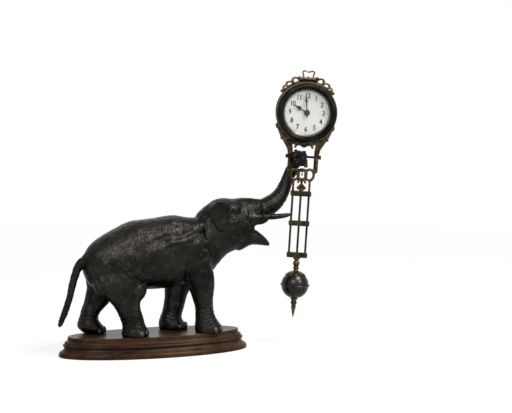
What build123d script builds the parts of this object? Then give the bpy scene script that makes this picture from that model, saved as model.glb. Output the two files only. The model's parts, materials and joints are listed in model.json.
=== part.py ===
"""Elephant mystery clock: a cast elephant on an oval wood plinth holds a swinging clock in its trunk.

The clock head, its lyre frame and the bob below are one compound pendulum that rocks on a knife edge.
The row frame has its origin at the centre of the plinth's underside, +X towards the elephant's head
and +Z up; the dial looks towards -Y. The swinger is drawn upright in a frame of its own, with its
origin on the knife edge, +X to the viewer's right and -Y towards the viewer, and is then set in place.
"""
import os
from math import atan2, cos, degrees, hypot, pi, radians, sin

from build123d import *

# Plinth
PLINTH_LENGTH = 182.0
PLINTH_DEPTH = 72.6
PLINTH_HEIGHT = 18.5
RIM_INSET = 8.8
BEAD_INSET = 4.0
NECK_INSET = 5.4

# Elephant
WALL = 5.0
LEG_SEAM = 36.0
LEG_SPREAD = 14.0
FACE_X = 103.0
RUMP_X = -67.0
EAR_THICKNESS = 2.6
EAR_X = 66.5
EAR_SPREAD = 18.5
EAR_ANGLE = 27.0
FAR_EAR_ANGLE = 14.0
FAR_EAR_TURN = 30.0
FAR_EAR_DROP = 10.0
SHEATH_LENGTH = 16.0
SHEATH_WALL = 1.0
TUSK_SPREAD = 12.3
TUSK_RADIUS = 2.8
FAR_TUSK_DROP = 3.0
SEAT_STEP = 0.1
SCREW_RADIUS = 1.5
SCREW_HEAD_RADIUS = 3.0
SCREW_HEAD_HEIGHT = 2.4
SCREW_REACH = 10.0

# Where the swinger hangs, measured from the plinth's top
PIVOT_X = 145.2
PIVOT_Y = -8.4
PIVOT_RISE = 158.2
DIAL_TURN = -17.0
HANG_TILT = 3.6

# Fits
RUNNING_FIT = 0.05
SEATED_FIT = 0.03
HAND_FIT = 0.02

# Knife edge and bracket
NOSE_RADIUS = 0.30
NOSE_GAP = 0.03
KNIFE_HALF_ANGLE = 30.0
GROOVE_HALF_ANGLE = 60.0
KNIFE_HEIGHT = 5.6
KNIFE_WIDTH = 6.0
KNIFE_DEPTH = 8.0
BRACKET_WIDTH = 8.0
BRACKET_DEPTH = 9.0
BRACKET_TOP = 0.4
BRACKET_BOTTOM = -6.0
ARM_RADIUS = 2.6
ARM_OFFSET = -1.0
ARM_DROP = -2.6
ARM_END = 8.0
STUD_RADIUS = 1.8
STUD_END = 13.0

# Lyre frame, crown and gridiron
FRAME_THICKNESS = 3.5
CROWN_HALF_ANGLE = 55.0
CROWN_BASE = 1.1
RING_WIDTH = 1.9
RAIL_OUTER = 14.9
RAIL_WIDTH = 3.6
RAIL_END = -10.0
SHOULDER_HEIGHT = 3.5
PIN_RISE = 2.6
PIN_RADIUS = 1.1
NUT_RADIUS = 1.9
EYE_RISE = -18.0
EYE_RADIUS = 5.0
EYE_HOLE = 2.75
SIDE_LOOP_OFFSET = 7.2
BAR_RISES = (-32.4, -60.7, -91.0)
BAR_HALF_WIDTH = 9.8
BAR_HEIGHT = 4.8
BAR_DEPTH = 4.6
ROD_SPACING = 7.7
ROD_RADIUS = 1.05
ROD_TAIL = 7.6

# Bob
BOB_RISE = -119.7
BOB_RADIUS = 13.0
BOB_WALL = 1.2
POLE_FLAT = 0.25
BELT_WIDTH = 1.8
BELT_STEP = 1.0
STEM_RADIUS = 1.5
FINIAL_LENGTH = 18.4
BALLAST_GAP = 0.65

# Clock head, from its own centre on the dial's axis
HEAD_RISE = 45.0
DRUM_RADIUS = 27.0
DRUM_WALL = 0.8
DRUM_FRONT = -12.0
DRUM_BACK = 15.0
BEZEL_RADIUS = DRUM_RADIUS + 1.5
BEZEL_CREST = DRUM_RADIUS - 2.4
BEZEL_OPENING = DRUM_RADIUS - 4.7
BEZEL_SKIRT = 2.5
BEZEL_RISE = 3.3
CRYSTAL_RIM = 1.1
CRYSTAL_DOME = 2.9
CRYSTAL_THICKNESS = 1.0
DOME_STEPS = 10
DIAL_RADIUS = DRUM_RADIUS - 2.0
DIAL_FRONT = -10.4
DIAL_THICKNESS = 0.6
PLATE_THICKNESS = 1.0
FRONT_PLATE_BACK = -5.3
BACK_PLATE_FRONT = 7.0
PLATE_GAP = 0.2
PILLAR_RADIUS = 1.6
TENON_RADIUS = 1.0
PILLAR_CIRCLE = DRUM_RADIUS - 3.8
PILLAR_ANGLES = (90.0, 240.0, 300.0)
PILLAR_NUT_HEIGHT = 1.0
COVER_THICKNESS = 0.6
COVER_FLANGE = 0.5

# Train
GREAT_TEETH = 48
CENTER_TEETH = 60
THIRD_TEETH = 60
PINION_LEAVES = 8
GREAT_MODULE = 0.40
CENTER_MODULE = 0.32
THIRD_MODULE = 0.30
CANNON_TEETH = 12
MINUTE_WHEEL_TEETH = 36
MINUTE_PINION_TEETH = 10
HOUR_TEETH = 40
CANNON_MODULE = 0.25
ESCAPE_TEETH = 30
ESCAPE_RADIUS = 6.2
RATCHET_TEETH = 20
RATCHET_RADIUS = 4.5
CLICK_DISTANCE = 7.8
CLICK_ANGLE = 71.0
BARREL_ANGLE = -20.0
THIRD_ANGLE = 200.0
ESCAPE_ANGLE = 95.0
PALLET_ANGLE = 65.0
PALLET_DISTANCE = 8.6
PALLET_REACH = 42.0
PALLET_GAP = 0.6
MOTION_ANGLE = 120.0
MOTION_STUD_RADIUS = 0.6
ARBOR_RADIUS = 0.7
THIRD_ARBOR_RADIUS = 0.8
PIVOT_RADIUS = 0.5
BARREL_ARBOR_RADIUS = 1.4
BARREL_RADIUS = 8.8
BARREL_WALL = 0.8
SPRING_COILS = 5
SPRING_THICKNESS = 0.45
KNOB_RADIUS = 4.0
KEY_SPAN = 12.0
INNER_PENDULUM = 26.0
INNER_BOB_RADIUS = 3.6

# Time shown
MINUTE_ANGLE = -6.0
HOUR_ANGLE = -60.5
MINUTE_REACH = 17.6
HOUR_REACH = 14.2
HOUR_SPADE = 6.0

# Stations of the castings: x, top, underside and half width, with heights from the plinth's top
TORSO = (
    (RUMP_X, 76, 60, 6),
    (-62, 82, 48, 14.5),
    (-52, 90.5, 42, 21),
    (-38, 98.2, 41.5, 25),
    (-20, 105.3, 41.5, 27.5),
    (0, 107, 41, 28),
    (20, 109, 42.5, 26.5),
    (36, 106.4, 46, 24),
    (50, 109, 51, 20.5),
    (60, 112, 59.5, 16),
)
HEAD = (
    (44, 102, 62, 14),
    (54, 118.2, 58.5, 19),
    (62, 122.8, 61.8, 20.5),
    (70, 123.5, 69.6, 20.5),
    (80, 122, 74.5, 19),
    (90, 122.4, 83, 15.5),
    (97, 122.3, 93.5, 12.5),
    (FACE_X, 122.2, 100, 10.5),
)
JAW = (
    (80, 96, 74.6, 12),
    (90, 95.4, 75.6, 10.5),
    (96, 94.6, 77.8, 9),
    (101, 92, 78.0, 7.6),
    (106, 88.2, 77.3, 6.2),
    (110.5, 84, 76.6, 4.8),
    (114, 79.8, 76.2, 3.0),
)
# Stations of the round limbs: x, y, height and radius along each limb
TRUNK = (
    (FACE_X, 0.0, 111.1, 10.4),
    (113.5, 0.5, 114.2, 9.2),
    (122.5, 2.6, 119.8, 8.2),
    (130.4, 5.2, 129.2, 6.7),
    (135.2, 5.6, 141.5, 5.4),
    (139.4, 5.0, 151.0, 4.7),
    (144.2, 3.8, 156.4, 5.0),
    (149.4, 3.0, 160.2, 4.8),
)
TAIL = (
    (RUMP_X, 0.0, 70.5, 4.4),
    (-71.6, 0.0, 65.0, 4.0),
    (-74.6, 0.0, 57.5, 3.5),
    (-77.0, 0.0, 49.5, 3.1),
    (-80.2, 0.0, 36.2, 2.8),
    (-84.7, 0.0, 23.4, 2.5),
    (-89.4, 0.0, 13.0, 2.3),
    (-91.0, 0.0, 10.0, 1.2),
)
TUSK = (
    (FACE_X, 0.0, 105.4, TUSK_RADIUS),
    (110.0, 0.3, 105.6, TUSK_RADIUS),
    (117.0, 0.1, 105.6, 2.6),
    (124.0, -0.5, 105.9, 2.3),
    (129.6, -1.3, 106.5, 1.7),
    (132.6, -1.7, 107.0, 0.8),
)
# Stations of the legs from the sole up: x, height, half length and half width
NEAR_FORE = (
    (49.4, 0, 12.4, 11.5), (49.2, 3.5, 12.9, 12), (47.2, 11, 10.6, 10.5), (45.4, 18.5, 8.8, 9.3),
    (44.2, 29, 9.2, 9.2), (42.8, 38, 11.3, 10.2), (41.5, 48, 13.5, 10.8), (40, 58, 13.5, 10),
    (39, 67, 10.5, 8), (38.5, 75, 7, 5.5),
)
FAR_FORE = (
    (23, 0, 13, 11.5), (23, 2.5, 13.4, 12), (20.8, 9, 10.6, 10.5), (22.5, 16.5, 10.1, 9.5),
    (25, 26.5, 10.4, 9.2), (27.5, 37, 12.2, 10.2), (30, 47, 13.6, 10.8), (32.5, 57, 13.5, 10),
    (34, 66, 10.5, 8), (35, 74, 7, 5.5),
)
NEAR_HIND = (
    (-22, 0, 12, 11.5), (-22, 3.5, 12.4, 12), (-23, 9.5, 11, 10.8), (-25.5, 17, 11, 10.2),
    (-28.8, 26, 12, 10.5), (-32.5, 35, 15.5, 11.3), (-35.5, 45, 17.5, 11.8), (-37.5, 55, 16, 11),
    (-38.5, 64, 12, 9), (-38.5, 72, 8, 6),
)
FAR_HIND = (
    (-53, 0, 8.5, 9), (-55.5, 3.5, 12, 11.5), (-58, 8, 11.8, 11.5), (-59, 12.5, 9.8, 10.3),
    (-57.4, 19.2, 9.2, 9.8), (-52, 27.3, 11.6, 10.5), (-47.5, 36, 14, 11.5), (-44.5, 45, 15.5, 11.8),
    (-43, 55, 15, 11), (-42, 64, 12, 9), (-41, 72, 8, 6),
)
EAR_OUTLINE = (
    (0, 118), (-6, 121.8), (-14, 122.6), (-22, 120.6), (-26, 115), (-20.4, 108.4), (-15, 101.8),
    (-9.5, 97.4), (-4.8, 95), (-1.5, 98.5), (1.2, 107),
)

# Tooth outlines: height from the pitch circle in modules, and half width as a share of the pitch
WHEEL_TOOTH = ((-1.15, 0.26), (0.0, 0.215), (0.45, 0.155), (0.75, 0.08))
PINION_LEAF = ((-1.15, 0.10), (0.0, 0.165), (0.35, 0.14), (0.6, 0.07))


def up(height):
    """Height in the row frame of something measured from the plinth's top."""
    return PLINTH_HEIGHT + height


def slab(sketch, front, back):
    """Thick plate between two depths, from a sketch of x across and z up."""
    return extrude(Plane.XZ.offset(-back) * sketch, amount=back - front)


def closed(points):
    """Face inside a closed run of straight lines."""
    return make_face(Polyline(*points, close=True))


def turned_about_y(points):
    """Ring or disc on the depth axis, from radius and depth pairs."""
    return revolve(closed(points), Axis.Y)


def turned_about_z(points):
    """Turned piece on the upright axis, from radius and height pairs."""
    return revolve(Plane.XZ * closed(points), Axis.Z)


def polar(radius, angle):
    """Point at a radius and an angle in degrees, x to the right and z up."""
    return radius * cos(radians(angle)), radius * sin(radians(angle))


def shifted(point, radius, angle):
    """Point at a distance and a direction from another."""
    dx, dz = polar(radius, angle)
    return point[0] + dx, point[1] + dz


def barrel_loft(stations):
    """Smooth solid through upright oval sections along X."""
    rings = []
    for x, top, under, half in stations:
        plane = Plane(origin=(x, 0, up((top + under) / 2)), x_dir=(0, 0, 1), z_dir=(1, 0, 0))
        rings.append(plane * Ellipse((top - under) / 2, half))
    return loft(rings)


def leg_loft(stations, side):
    """Smooth leg through level oval sections."""
    rings = []
    for x, height, half_x, half_y in stations:
        rings.append(Pos(x, side * LEG_SPREAD, up(height)) * Ellipse(half_x, half_y))
    return loft(rings)


def limb_loft(stations, side_offset=0.0, mirror_side=1):
    """Smooth round limb through sections square to its run; its first section is upright."""
    points = [Vector(x, mirror_side * (y + side_offset), up(z)) for x, y, z, _ in stations]
    rings = []
    for index, (x, y, z, radius) in enumerate(stations):
        before = points[max(index - 1, 0)]
        after = points[min(index + 1, len(points) - 1)]
        run = after - before
        if index == 0:
            run = Vector(run.X, 0, 0)
        rings.append(Plane(origin=points[index], x_dir=(0, 1, 0), z_dir=run) * Circle(radius))
    return loft(rings)


def toothed(teeth, module, tooth, angle):
    """Face of a wheel with one tooth pointing along an angle."""
    pitch = 360.0 / teeth
    radius = teeth * module / 2
    points = []
    for index in range(teeth):
        middle = angle + index * pitch
        for rise, half in tooth:
            points.append(polar(radius + rise * module, middle - half * pitch))
        for rise, half in reversed(tooth):
            points.append(polar(radius + rise * module, middle + half * pitch))
    return closed(points)


def band(path, half_width):
    """Strip of even width along a run of points, with round ends."""
    shape = None
    for start, end in zip(path, path[1:]):
        length = hypot(end[0] - start[0], end[1] - start[1])
        turn = degrees(atan2(end[1] - start[1], end[0] - start[0]))
        middle = ((start[0] + end[0]) / 2, (start[1] + end[1]) / 2)
        piece = Pos(*middle) * Rot(0, 0, turn) * SlotCenterToCenter(length, 2 * half_width)
        shape = piece if shape is None else shape + piece
    return shape


def disc(point, radius):
    """Round face at a point."""
    return Pos(*point) * Circle(radius)


def spoked(wheel, rim_radius, hub_radius, arms):
    """Wheel face with windows cut between its arms."""
    windows = Circle(rim_radius) - Circle(hub_radius)
    for index in range(arms):
        windows -= Rot(0, 0, index * 360.0 / arms) * Pos(rim_radius / 2, 0) * Rectangle(rim_radius, 1.3)
    return wheel - windows


def mirrored(sketch):
    """A sketch together with its mirror image across the upright axis."""
    return sketch + mirror(sketch, about=Plane.YZ)


stand = {}
swinger = {}
head = {}

# Plinth with its mouldings, drilled for the foot screws
foot_a = PLINTH_LENGTH / 2
foot_b = PLINTH_DEPTH / 2
moulding = (
    (0.0, 0.8), (0.8, 0.0), (2.2, 0.0), (4.2, 1.3), (6.4, 3.3), (8.2, NECK_INSET - 0.4),
    (8.7, NECK_INSET), (9.2, NECK_INSET), (9.4, BEAD_INSET + 0.3), (10.5, BEAD_INSET),
    (11.6, BEAD_INSET + 0.3), (11.8, NECK_INSET), (13.2, RIM_INSET - 2.0), (14.8, RIM_INSET - 0.9),
    (15.0, RIM_INSET - 0.4),
    (PLINTH_HEIGHT - 0.5, RIM_INSET - 0.4), (PLINTH_HEIGHT, RIM_INSET),
)
plinth = loft([Pos(0, 0, z) * Ellipse(foot_a - inset, foot_b - inset) for z, inset in moulding], ruled=True)
legs = {
    "near_fore_leg": (NEAR_FORE, -1),
    "far_fore_leg": (FAR_FORE, 1),
    "near_hind_leg": (NEAR_HIND, -1),
    "far_hind_leg": (FAR_HIND, 1),
}
screws = None
whole_legs = None
for name, (stations, side) in legs.items():
    leg = leg_loft(stations, side)
    whole_legs = leg if whole_legs is None else whole_legs + leg
    foot = (stations[0][0], side * LEG_SPREAD)
    hole_radius = SCREW_RADIUS + RUNNING_FIT
    hole = Pos(*foot, up(SCREW_REACH) / 2) * Cylinder(hole_radius, up(SCREW_REACH))
    recess_depth = SCREW_HEAD_HEIGHT + 1.6
    recess = Pos(*foot, recess_depth / 2) * Cylinder(SCREW_HEAD_RADIUS + 0.3, recess_depth)
    plinth = plinth - hole - recess
    below_seam = Pos(0, 0, up(LEG_SEAM) / 2) * Box(400, 200, up(LEG_SEAM))
    stand[name] = (leg & below_seam) - hole
    shank_length = up(SCREW_REACH) - recess_depth
    shank = Pos(*foot, recess_depth + shank_length / 2) * Cylinder(SCREW_RADIUS, shank_length)
    cap = Pos(*foot, recess_depth - SCREW_HEAD_HEIGHT / 2) * Cylinder(SCREW_HEAD_RADIUS, SCREW_HEAD_HEIGHT)
    screws = shank + cap if screws is None else screws + shank + cap
stand["plinth"] = plinth
stand["foot_screws"] = screws

# Elephant's body casting: torso, head, jaw, upper legs, ears and tusk sheaths, cored inside
body = barrel_loft(TORSO) + barrel_loft(HEAD) + barrel_loft(JAW)
above_seam = Pos(0, 0, up(LEG_SEAM) + 100) * Box(400, 200, 200)
body = body + (whole_legs & above_seam)
ear_face = make_face(Spline(*EAR_OUTLINE, periodic=True))
sides = (
    (-1, EAR_ANGLE, 0.0, 0.0, 0.0),
    (1, FAR_EAR_ANGLE, FAR_EAR_TURN, FAR_EAR_DROP, FAR_TUSK_DROP),
)
for side, angle, turn, drop, tusk_drop in sides:
    sheath_root = (FACE_X - SHEATH_LENGTH, side * TUSK_SPREAD, up(TUSK[0][2] - tusk_drop))
    sheath = Plane(origin=sheath_root, z_dir=(1, 0, 0)) * Circle(TUSK_RADIUS + SHEATH_WALL)
    body = body + extrude(sheath, amount=SHEATH_LENGTH)
    ear_run = (cos(radians(angle)), -side * sin(radians(angle)), 0)
    ear_plane = Plane(origin=(EAR_X, side * EAR_SPREAD, up(EAR_OUTLINE[0][1] - drop)), x_dir=ear_run,
                      z_dir=(ear_run[1], -ear_run[0], 0))
    ear = ear_plane * Rot(0, 0, turn) * Pos(0, -EAR_OUTLINE[0][1]) * ear_face
    body = body + extrude(ear, amount=EAR_THICKNESS / 2, both=True)
core = [(x, top - WALL, under + WALL, half - WALL) for x, top, under, half in TORSO[2:-1]]
stand["elephant_body"] = body - barrel_loft(core)
stand["tail"] = limb_loft(TAIL)
stand["near_tusk"] = limb_loft(TUSK, TUSK_SPREAD, -1)
stand["far_tusk"] = Pos(0, 0, -FAR_TUSK_DROP) * limb_loft(TUSK, TUSK_SPREAD)

# Bracket in the trunk's tip: a grooved steel seat for the knife edge
groove_depth = (NOSE_RADIUS + NOSE_GAP) / sin(radians(GROOVE_HALF_ANGLE))
groove_rise = BRACKET_TOP + 1.0 + groove_depth
groove_half = groove_rise * sin(radians(GROOVE_HALF_ANGLE)) / cos(radians(GROOVE_HALF_ANGLE))
groove = closed(((0, -groove_depth), (groove_half, BRACKET_TOP + 1.0), (-groove_half, BRACKET_TOP + 1.0)))
seat = Pos(0, (BRACKET_TOP + BRACKET_BOTTOM) / 2) * Rectangle(BRACKET_WIDTH, BRACKET_TOP - BRACKET_BOTTOM)
bracket = slab(seat - groove, -BRACKET_DEPTH / 2, BRACKET_DEPTH / 2)
arm_point = (ARM_OFFSET, ARM_DROP)
bracket = bracket + slab(disc(arm_point, ARM_RADIUS), BRACKET_DEPTH / 2, ARM_END)
bracket = bracket + slab(disc(arm_point, STUD_RADIUS), ARM_END, STUD_END)
bracket_place = Pos(PIVOT_X, PIVOT_Y, up(PIVOT_RISE)) * Rot(0, 0, DIAL_TURN)
stand["pivot_bracket"] = bracket_place * bracket
stud_hole = slab(disc(arm_point, STUD_RADIUS + SEATED_FIT), BRACKET_DEPTH / 2, STUD_END)
arm_room = slab(disc(arm_point, ARM_RADIUS + SEAT_STEP), 0.0, ARM_END)
stand["trunk"] = limb_loft(TRUNK) - bracket_place * stud_hole - bracket_place * arm_room

# Lyre frame: a ring round the drum, two arms that become the rails, and an apron
half_frame = FRAME_THICKNESS / 2
ring_inner = DRUM_RADIUS + RUNNING_FIT
ring_outer = ring_inner + RING_WIDTH
rail_inner = RAIL_OUTER - RAIL_WIDTH
head_point = (0, HEAD_RISE)
ring = disc(head_point, ring_outer) - disc(head_point, ring_inner)
arm_top = shifted(head_point, ring_outer - 0.4, 195)
arm_root = shifted(head_point, ring_outer - 0.6, 228)
outer_edge = Spline(arm_top, (-26.2, 29.5), (-18.0, 16.0), (-RAIL_OUTER, 5.0))
inner_edge = Spline((-rail_inner, 5.0), (-12.6, 12.5), (-15.2, 18.4), arm_root)
lyre_arm = make_face([
    outer_edge,
    Line((-RAIL_OUTER, 5.0), (-RAIL_OUTER, RAIL_END)),
    Line((-RAIL_OUTER, RAIL_END), (-rail_inner, RAIL_END)),
    Line((-rail_inner, RAIL_END), (-rail_inner, 5.0)),
    inner_edge,
    Line(arm_root, arm_top),
])
apron = make_face([
    Spline((-11.5, 20.0), (-8.5, 16.2), (-4.0, 15.2), (0, 11.4), (4.0, 15.2), (8.5, 16.2), (11.5, 20.0)),
    Line((11.5, 20.0), (-11.5, 20.0)),
])
apron = apron - mirrored(disc((-6.0, 17.2), 0.9))
frame_face = ring + mirrored(lyre_arm) + apron - disc(head_point, ring_inner)
frame = slab(frame_face, -half_frame, half_frame)
pin_axis = Plane(origin=(0, 0, PIN_RISE), x_dir=(0, 1, 0), z_dir=(1, 0, 0))
frame = frame - extrude(pin_axis * Circle(PIN_RADIUS + SEATED_FIT), amount=RAIL_OUTER + 1.0, both=True)
swinger["lyre_frame"] = frame
pin_reach = RAIL_OUTER + 1.5
swinger["cross_pin"] = extrude(pin_axis * Circle(PIN_RADIUS), amount=pin_reach, both=True)
nuts = None
for side in (-1, 1):
    nut = Pos(side * (RAIL_OUTER + 0.9), 0, PIN_RISE) * Rot(0, 90, 0) * Cylinder(NUT_RADIUS, 1.8)
    nut = nut - Pos(0, 0, PIN_RISE) * Rot(0, 90, 0) * Cylinder(PIN_RADIUS + SEATED_FIT, 2 * pin_reach)
    nuts = nut if nuts is None else nuts + nut
swinger["pin_nuts"] = nuts

# Knife block on the cross pin, with its nose on the hinge axis
slope = radians(KNIFE_HALF_ANGLE)
touch = (NOSE_RADIUS * cos(slope), -NOSE_RADIUS * sin(slope))
shoulder_rise = touch[1] + (KNIFE_WIDTH / 2 - touch[0]) * cos(slope) / sin(slope)
half_knife = KNIFE_WIDTH / 2
knife_face = closed((
    touch, (half_knife, shoulder_rise), (half_knife, KNIFE_HEIGHT), (-half_knife, KNIFE_HEIGHT),
    (-half_knife, shoulder_rise), (-touch[0], touch[1]),
)) + Circle(NOSE_RADIUS)
knife = slab(knife_face, -KNIFE_DEPTH / 2, KNIFE_DEPTH / 2)
knife = knife - extrude(pin_axis * Circle(PIN_RADIUS + SEATED_FIT), amount=KNIFE_WIDTH, both=True)
swinger["knife_block"] = knife

# Crown above the ring: leaf bar, bow and pierced scrolls
crown_face = Pos(0, HEAD_RISE + ring_outer + 1.0) * SlotCenterToCenter(12.0, 5.0)
bow_rise = HEAD_RISE + ring_outer + 2.6
bow = Pos(0, bow_rise + 3.6) * Ellipse(5.6, 4.3) - Pos(0, bow_rise + 3.4) * Ellipse(3.7, 2.7)
crown_face = crown_face + bow
for angle, radius, stand_off in ((110, 2.7, 1.6), (122, 2.5, 1.5), (133, 2.5, 1.6), (143, 1.9, 0.8)):
    point = shifted(head_point, ring_outer + stand_off, angle)
    crown_face = crown_face + mirrored(disc(point, radius) - disc(point, radius - 1.2))
fan_reach = 3 * ring_outer
fan = closed((
    head_point, shifted(head_point, fan_reach, 90 + CROWN_HALF_ANGLE), shifted(head_point, fan_reach, 90),
    shifted(head_point, fan_reach, 90 - CROWN_HALF_ANGLE),
))
crown_base = disc(head_point, ring_outer + CROWN_BASE) - disc(head_point, ring_outer)
crown_face = crown_face + (crown_base & fan)
leaf_foot = shifted(head_point, ring_outer + 0.4, 106)
leaf_tip = (leaf_foot[0] - 1.4, leaf_foot[1] + 0.3)
crown_face = crown_face + mirrored(band((leaf_foot, leaf_tip), 1.0))
crown_face = crown_face - disc(head_point, ring_outer + SEATED_FIT)
swinger["crown_ornament"] = slab(crown_face, -half_frame + 0.4, half_frame - 0.4)

# Lower ornament: shoulders under the rails, a pierced eye with side loops, and a trefoil foot
bar_top = BAR_RISES[0] + BAR_HEIGHT / 2
shoulder_middle = RAIL_END - SHOULDER_HEIGHT / 2
shoulders = Pos(0, shoulder_middle) * Rectangle(2 * RAIL_OUTER, SHOULDER_HEIGHT)
shoulders = shoulders - Pos(0, RAIL_END) * Rectangle(6.0, 2.4)
side_loop = Pos(-SIDE_LOOP_OFFSET, EYE_RISE + 1.0) * (Ellipse(4.6, 6.2) - Ellipse(2.5, 3.9))
trefoil = Pos(0, (EYE_RISE + bar_top) / 2 - 1.6) * Rectangle(4.4, EYE_RISE - bar_top - 3.0)
trefoil = trefoil + mirrored(disc((-3.4, bar_top + 2.6), 2.4))
foot_block = Pos(0, bar_top + 0.8) * Rectangle(12.0, 1.6)
lower_face = shoulders + mirrored(side_loop) + disc((0, EYE_RISE), EYE_RADIUS) + trefoil + foot_block
lower_face = lower_face & (Pos(0, (RAIL_END + bar_top) / 2) * Rectangle(60, RAIL_END - bar_top))
lower_face = lower_face - disc((0, EYE_RISE), EYE_HOLE)
lower = slab(lower_face, -half_frame, half_frame)
for x in (-ROD_SPACING, 0, ROD_SPACING):
    lower = lower - Pos(x, 0, bar_top + ROD_TAIL / 2) * Cylinder(ROD_RADIUS + SEATED_FIT, ROD_TAIL)
swinger["lower_ornament"] = lower

# Gridiron: three rods through three crossbars
rod_top = bar_top + ROD_TAIL
rod_bottom = BAR_RISES[-1] - BAR_HEIGHT / 2
rods = None
for x in (-ROD_SPACING, 0, ROD_SPACING):
    rod = Pos(x, 0, (rod_top + rod_bottom) / 2) * Cylinder(ROD_RADIUS, rod_top - rod_bottom)
    rods = rod if rods is None else rods + rod
swinger["pendulum_rods"] = rods
for name, rise in zip(("upper_crossbar", "middle_crossbar", "lower_crossbar"), BAR_RISES):
    bar = Pos(0, rise) * RectangleRounded(2 * BAR_HALF_WIDTH, BAR_HEIGHT, 1.2)
    bar = slab(bar, -BAR_DEPTH / 2, BAR_DEPTH / 2)
    for x in (-ROD_SPACING, 0, ROD_SPACING):
        bar = bar - Pos(x, 0, rise) * Cylinder(ROD_RADIUS + SEATED_FIT, BAR_HEIGHT)
    swinger[name] = bar

# Bob: stem of turned beads, hollow ball in two shells with a belt, cap, ballast and finial
ball_top = BOB_RISE + BOB_RADIUS
ball_bottom = BOB_RISE - BOB_RADIUS
stem_foot = ball_bottom - 6.0
stem_points = (
    (0, rod_bottom), (3.2, rod_bottom), (3.4, rod_bottom - 1.4), (1.8, rod_bottom - 2.4),
    (3.0, rod_bottom - 4.6), (3.2, rod_bottom - 5.8), (3.0, rod_bottom - 7.0), (1.9, rod_bottom - 8.4),
    (2.8, rod_bottom - 9.4), (2.8, rod_bottom - 10.6), (1.9, rod_bottom - 11.6), (2.4, ball_top + 0.8),
    (2.4, ball_top), (STEM_RADIUS, ball_top), (STEM_RADIUS, stem_foot), (0, stem_foot),
)
swinger["bob_stem"] = turned_about_z(stem_points)
bore = Pos(0, 0, BOB_RISE) * Cylinder(STEM_RADIUS + SEATED_FIT, 4 * BOB_RADIUS)
shell = Pos(0, 0, BOB_RISE) * (Sphere(BOB_RADIUS) - Sphere(BOB_RADIUS - BOB_WALL)) - bore
half_belt = BELT_WIDTH / 2
big = 4 * BOB_RADIUS
flat_top = Pos(0, 0, ball_top + big / 2 - POLE_FLAT) * Box(big, big, big)
flat_bottom = Pos(0, 0, ball_bottom - big / 2 + POLE_FLAT) * Box(big, big, big)
upper_half = Pos(0, 0, BOB_RISE + half_belt + big / 2) * Box(big, big, big)
lower_half = Pos(0, 0, BOB_RISE - half_belt - big / 2) * Box(big, big, big)
swinger["bob_upper_shell"] = (shell & upper_half) - flat_top
swinger["bob_lower_shell"] = (shell & lower_half) - flat_bottom
belt_outer = BOB_RADIUS + BELT_STEP
swinger["bob_belt"] = turned_about_z((
    (BOB_RADIUS - BOB_WALL, BOB_RISE - half_belt), (belt_outer - 0.5, BOB_RISE - half_belt),
    (belt_outer, BOB_RISE - half_belt + 0.5), (belt_outer, BOB_RISE + half_belt - 0.5),
    (belt_outer - 0.5, BOB_RISE + half_belt), (BOB_RADIUS - BOB_WALL, BOB_RISE + half_belt),
))
cap_shell = Pos(0, 0, BOB_RISE) * (Sphere(BOB_RADIUS + 0.9) - Sphere(BOB_RADIUS + SEATED_FIT))
cap_edge = Pos(0, 0, BOB_RISE + 0.62 * BOB_RADIUS + big / 2) * Box(big, big, big)
cap_bore = Pos(0, 0, ball_top) * Cylinder(2.4 + SEATED_FIT, 8)
swinger["bob_cap"] = (cap_shell & cap_edge) - cap_bore
ballast = Pos(0, 0, BOB_RISE) * Sphere(BOB_RADIUS - BOB_WALL - BALLAST_GAP)
ballast = ballast - bore
swinger["bob_ballast"] = ballast
finial_top = ball_bottom + POLE_FLAT
finial_tip = ball_bottom - FINIAL_LENGTH
finial = turned_about_z((
    (0, finial_top), (3.4, finial_top), (3.4, finial_top - 1.2), (2.2, finial_top - 2.2),
    (2.9, finial_top - 3.6), (3.0, finial_top - 4.6), (2.4, finial_top - 5.8), (1.9, finial_top - 6.6),
    (2.4, finial_top - 7.6), (2.2, finial_top - 9.0), (1.5, finial_top - 12.5), (0.8, finial_top - 16.0),
    (0.35, finial_tip + 0.4), (0, finial_tip),
))
socket_depth = finial_top - stem_foot
socket = Pos(0, 0, finial_top - socket_depth / 2) * Cylinder(STEM_RADIUS + SEATED_FIT, socket_depth)
swinger["bob_finial"] = finial - socket

# Case: drum, bezel, crystal, dial and back cover
drum_inner = DRUM_RADIUS - DRUM_WALL
head["case_drum"] = slab(Circle(DRUM_RADIUS) - Circle(drum_inner), DRUM_FRONT, DRUM_BACK)
crystal_radius = BEZEL_OPENING + 0.8
lip = DRUM_FRONT - CRYSTAL_RIM - RUNNING_FIT
crest = lip - BEZEL_RISE
bezel_outer = DRUM_RADIUS + RUNNING_FIT
bezel_face = make_face([
    Line((bezel_outer, DRUM_FRONT + BEZEL_SKIRT), (BEZEL_RADIUS, DRUM_FRONT + BEZEL_SKIRT)),
    Line((BEZEL_RADIUS, DRUM_FRONT + BEZEL_SKIRT), (BEZEL_RADIUS, DRUM_FRONT - 0.6)),
    ThreePointArc((BEZEL_RADIUS, DRUM_FRONT - 0.6), (BEZEL_RADIUS - 2.0, crest + 0.7),
                  (BEZEL_CREST, crest)),
    Line((BEZEL_CREST, crest), (BEZEL_OPENING, lip - 0.9)),
    Line((BEZEL_OPENING, lip - 0.9), (BEZEL_OPENING, lip)),
    Line((BEZEL_OPENING, lip), (crystal_radius + RUNNING_FIT, lip)),
    Line((crystal_radius + RUNNING_FIT, lip), (crystal_radius + RUNNING_FIT, DRUM_FRONT)),
    Line((crystal_radius + RUNNING_FIT, DRUM_FRONT), (bezel_outer, DRUM_FRONT)),
    Line((bezel_outer, DRUM_FRONT), (bezel_outer, DRUM_FRONT + BEZEL_SKIRT)),
])
head["bezel"] = revolve(bezel_face, Axis.Y)
rim_front = DRUM_FRONT - CRYSTAL_RIM
dome_radius = BEZEL_OPENING - 0.1
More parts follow.
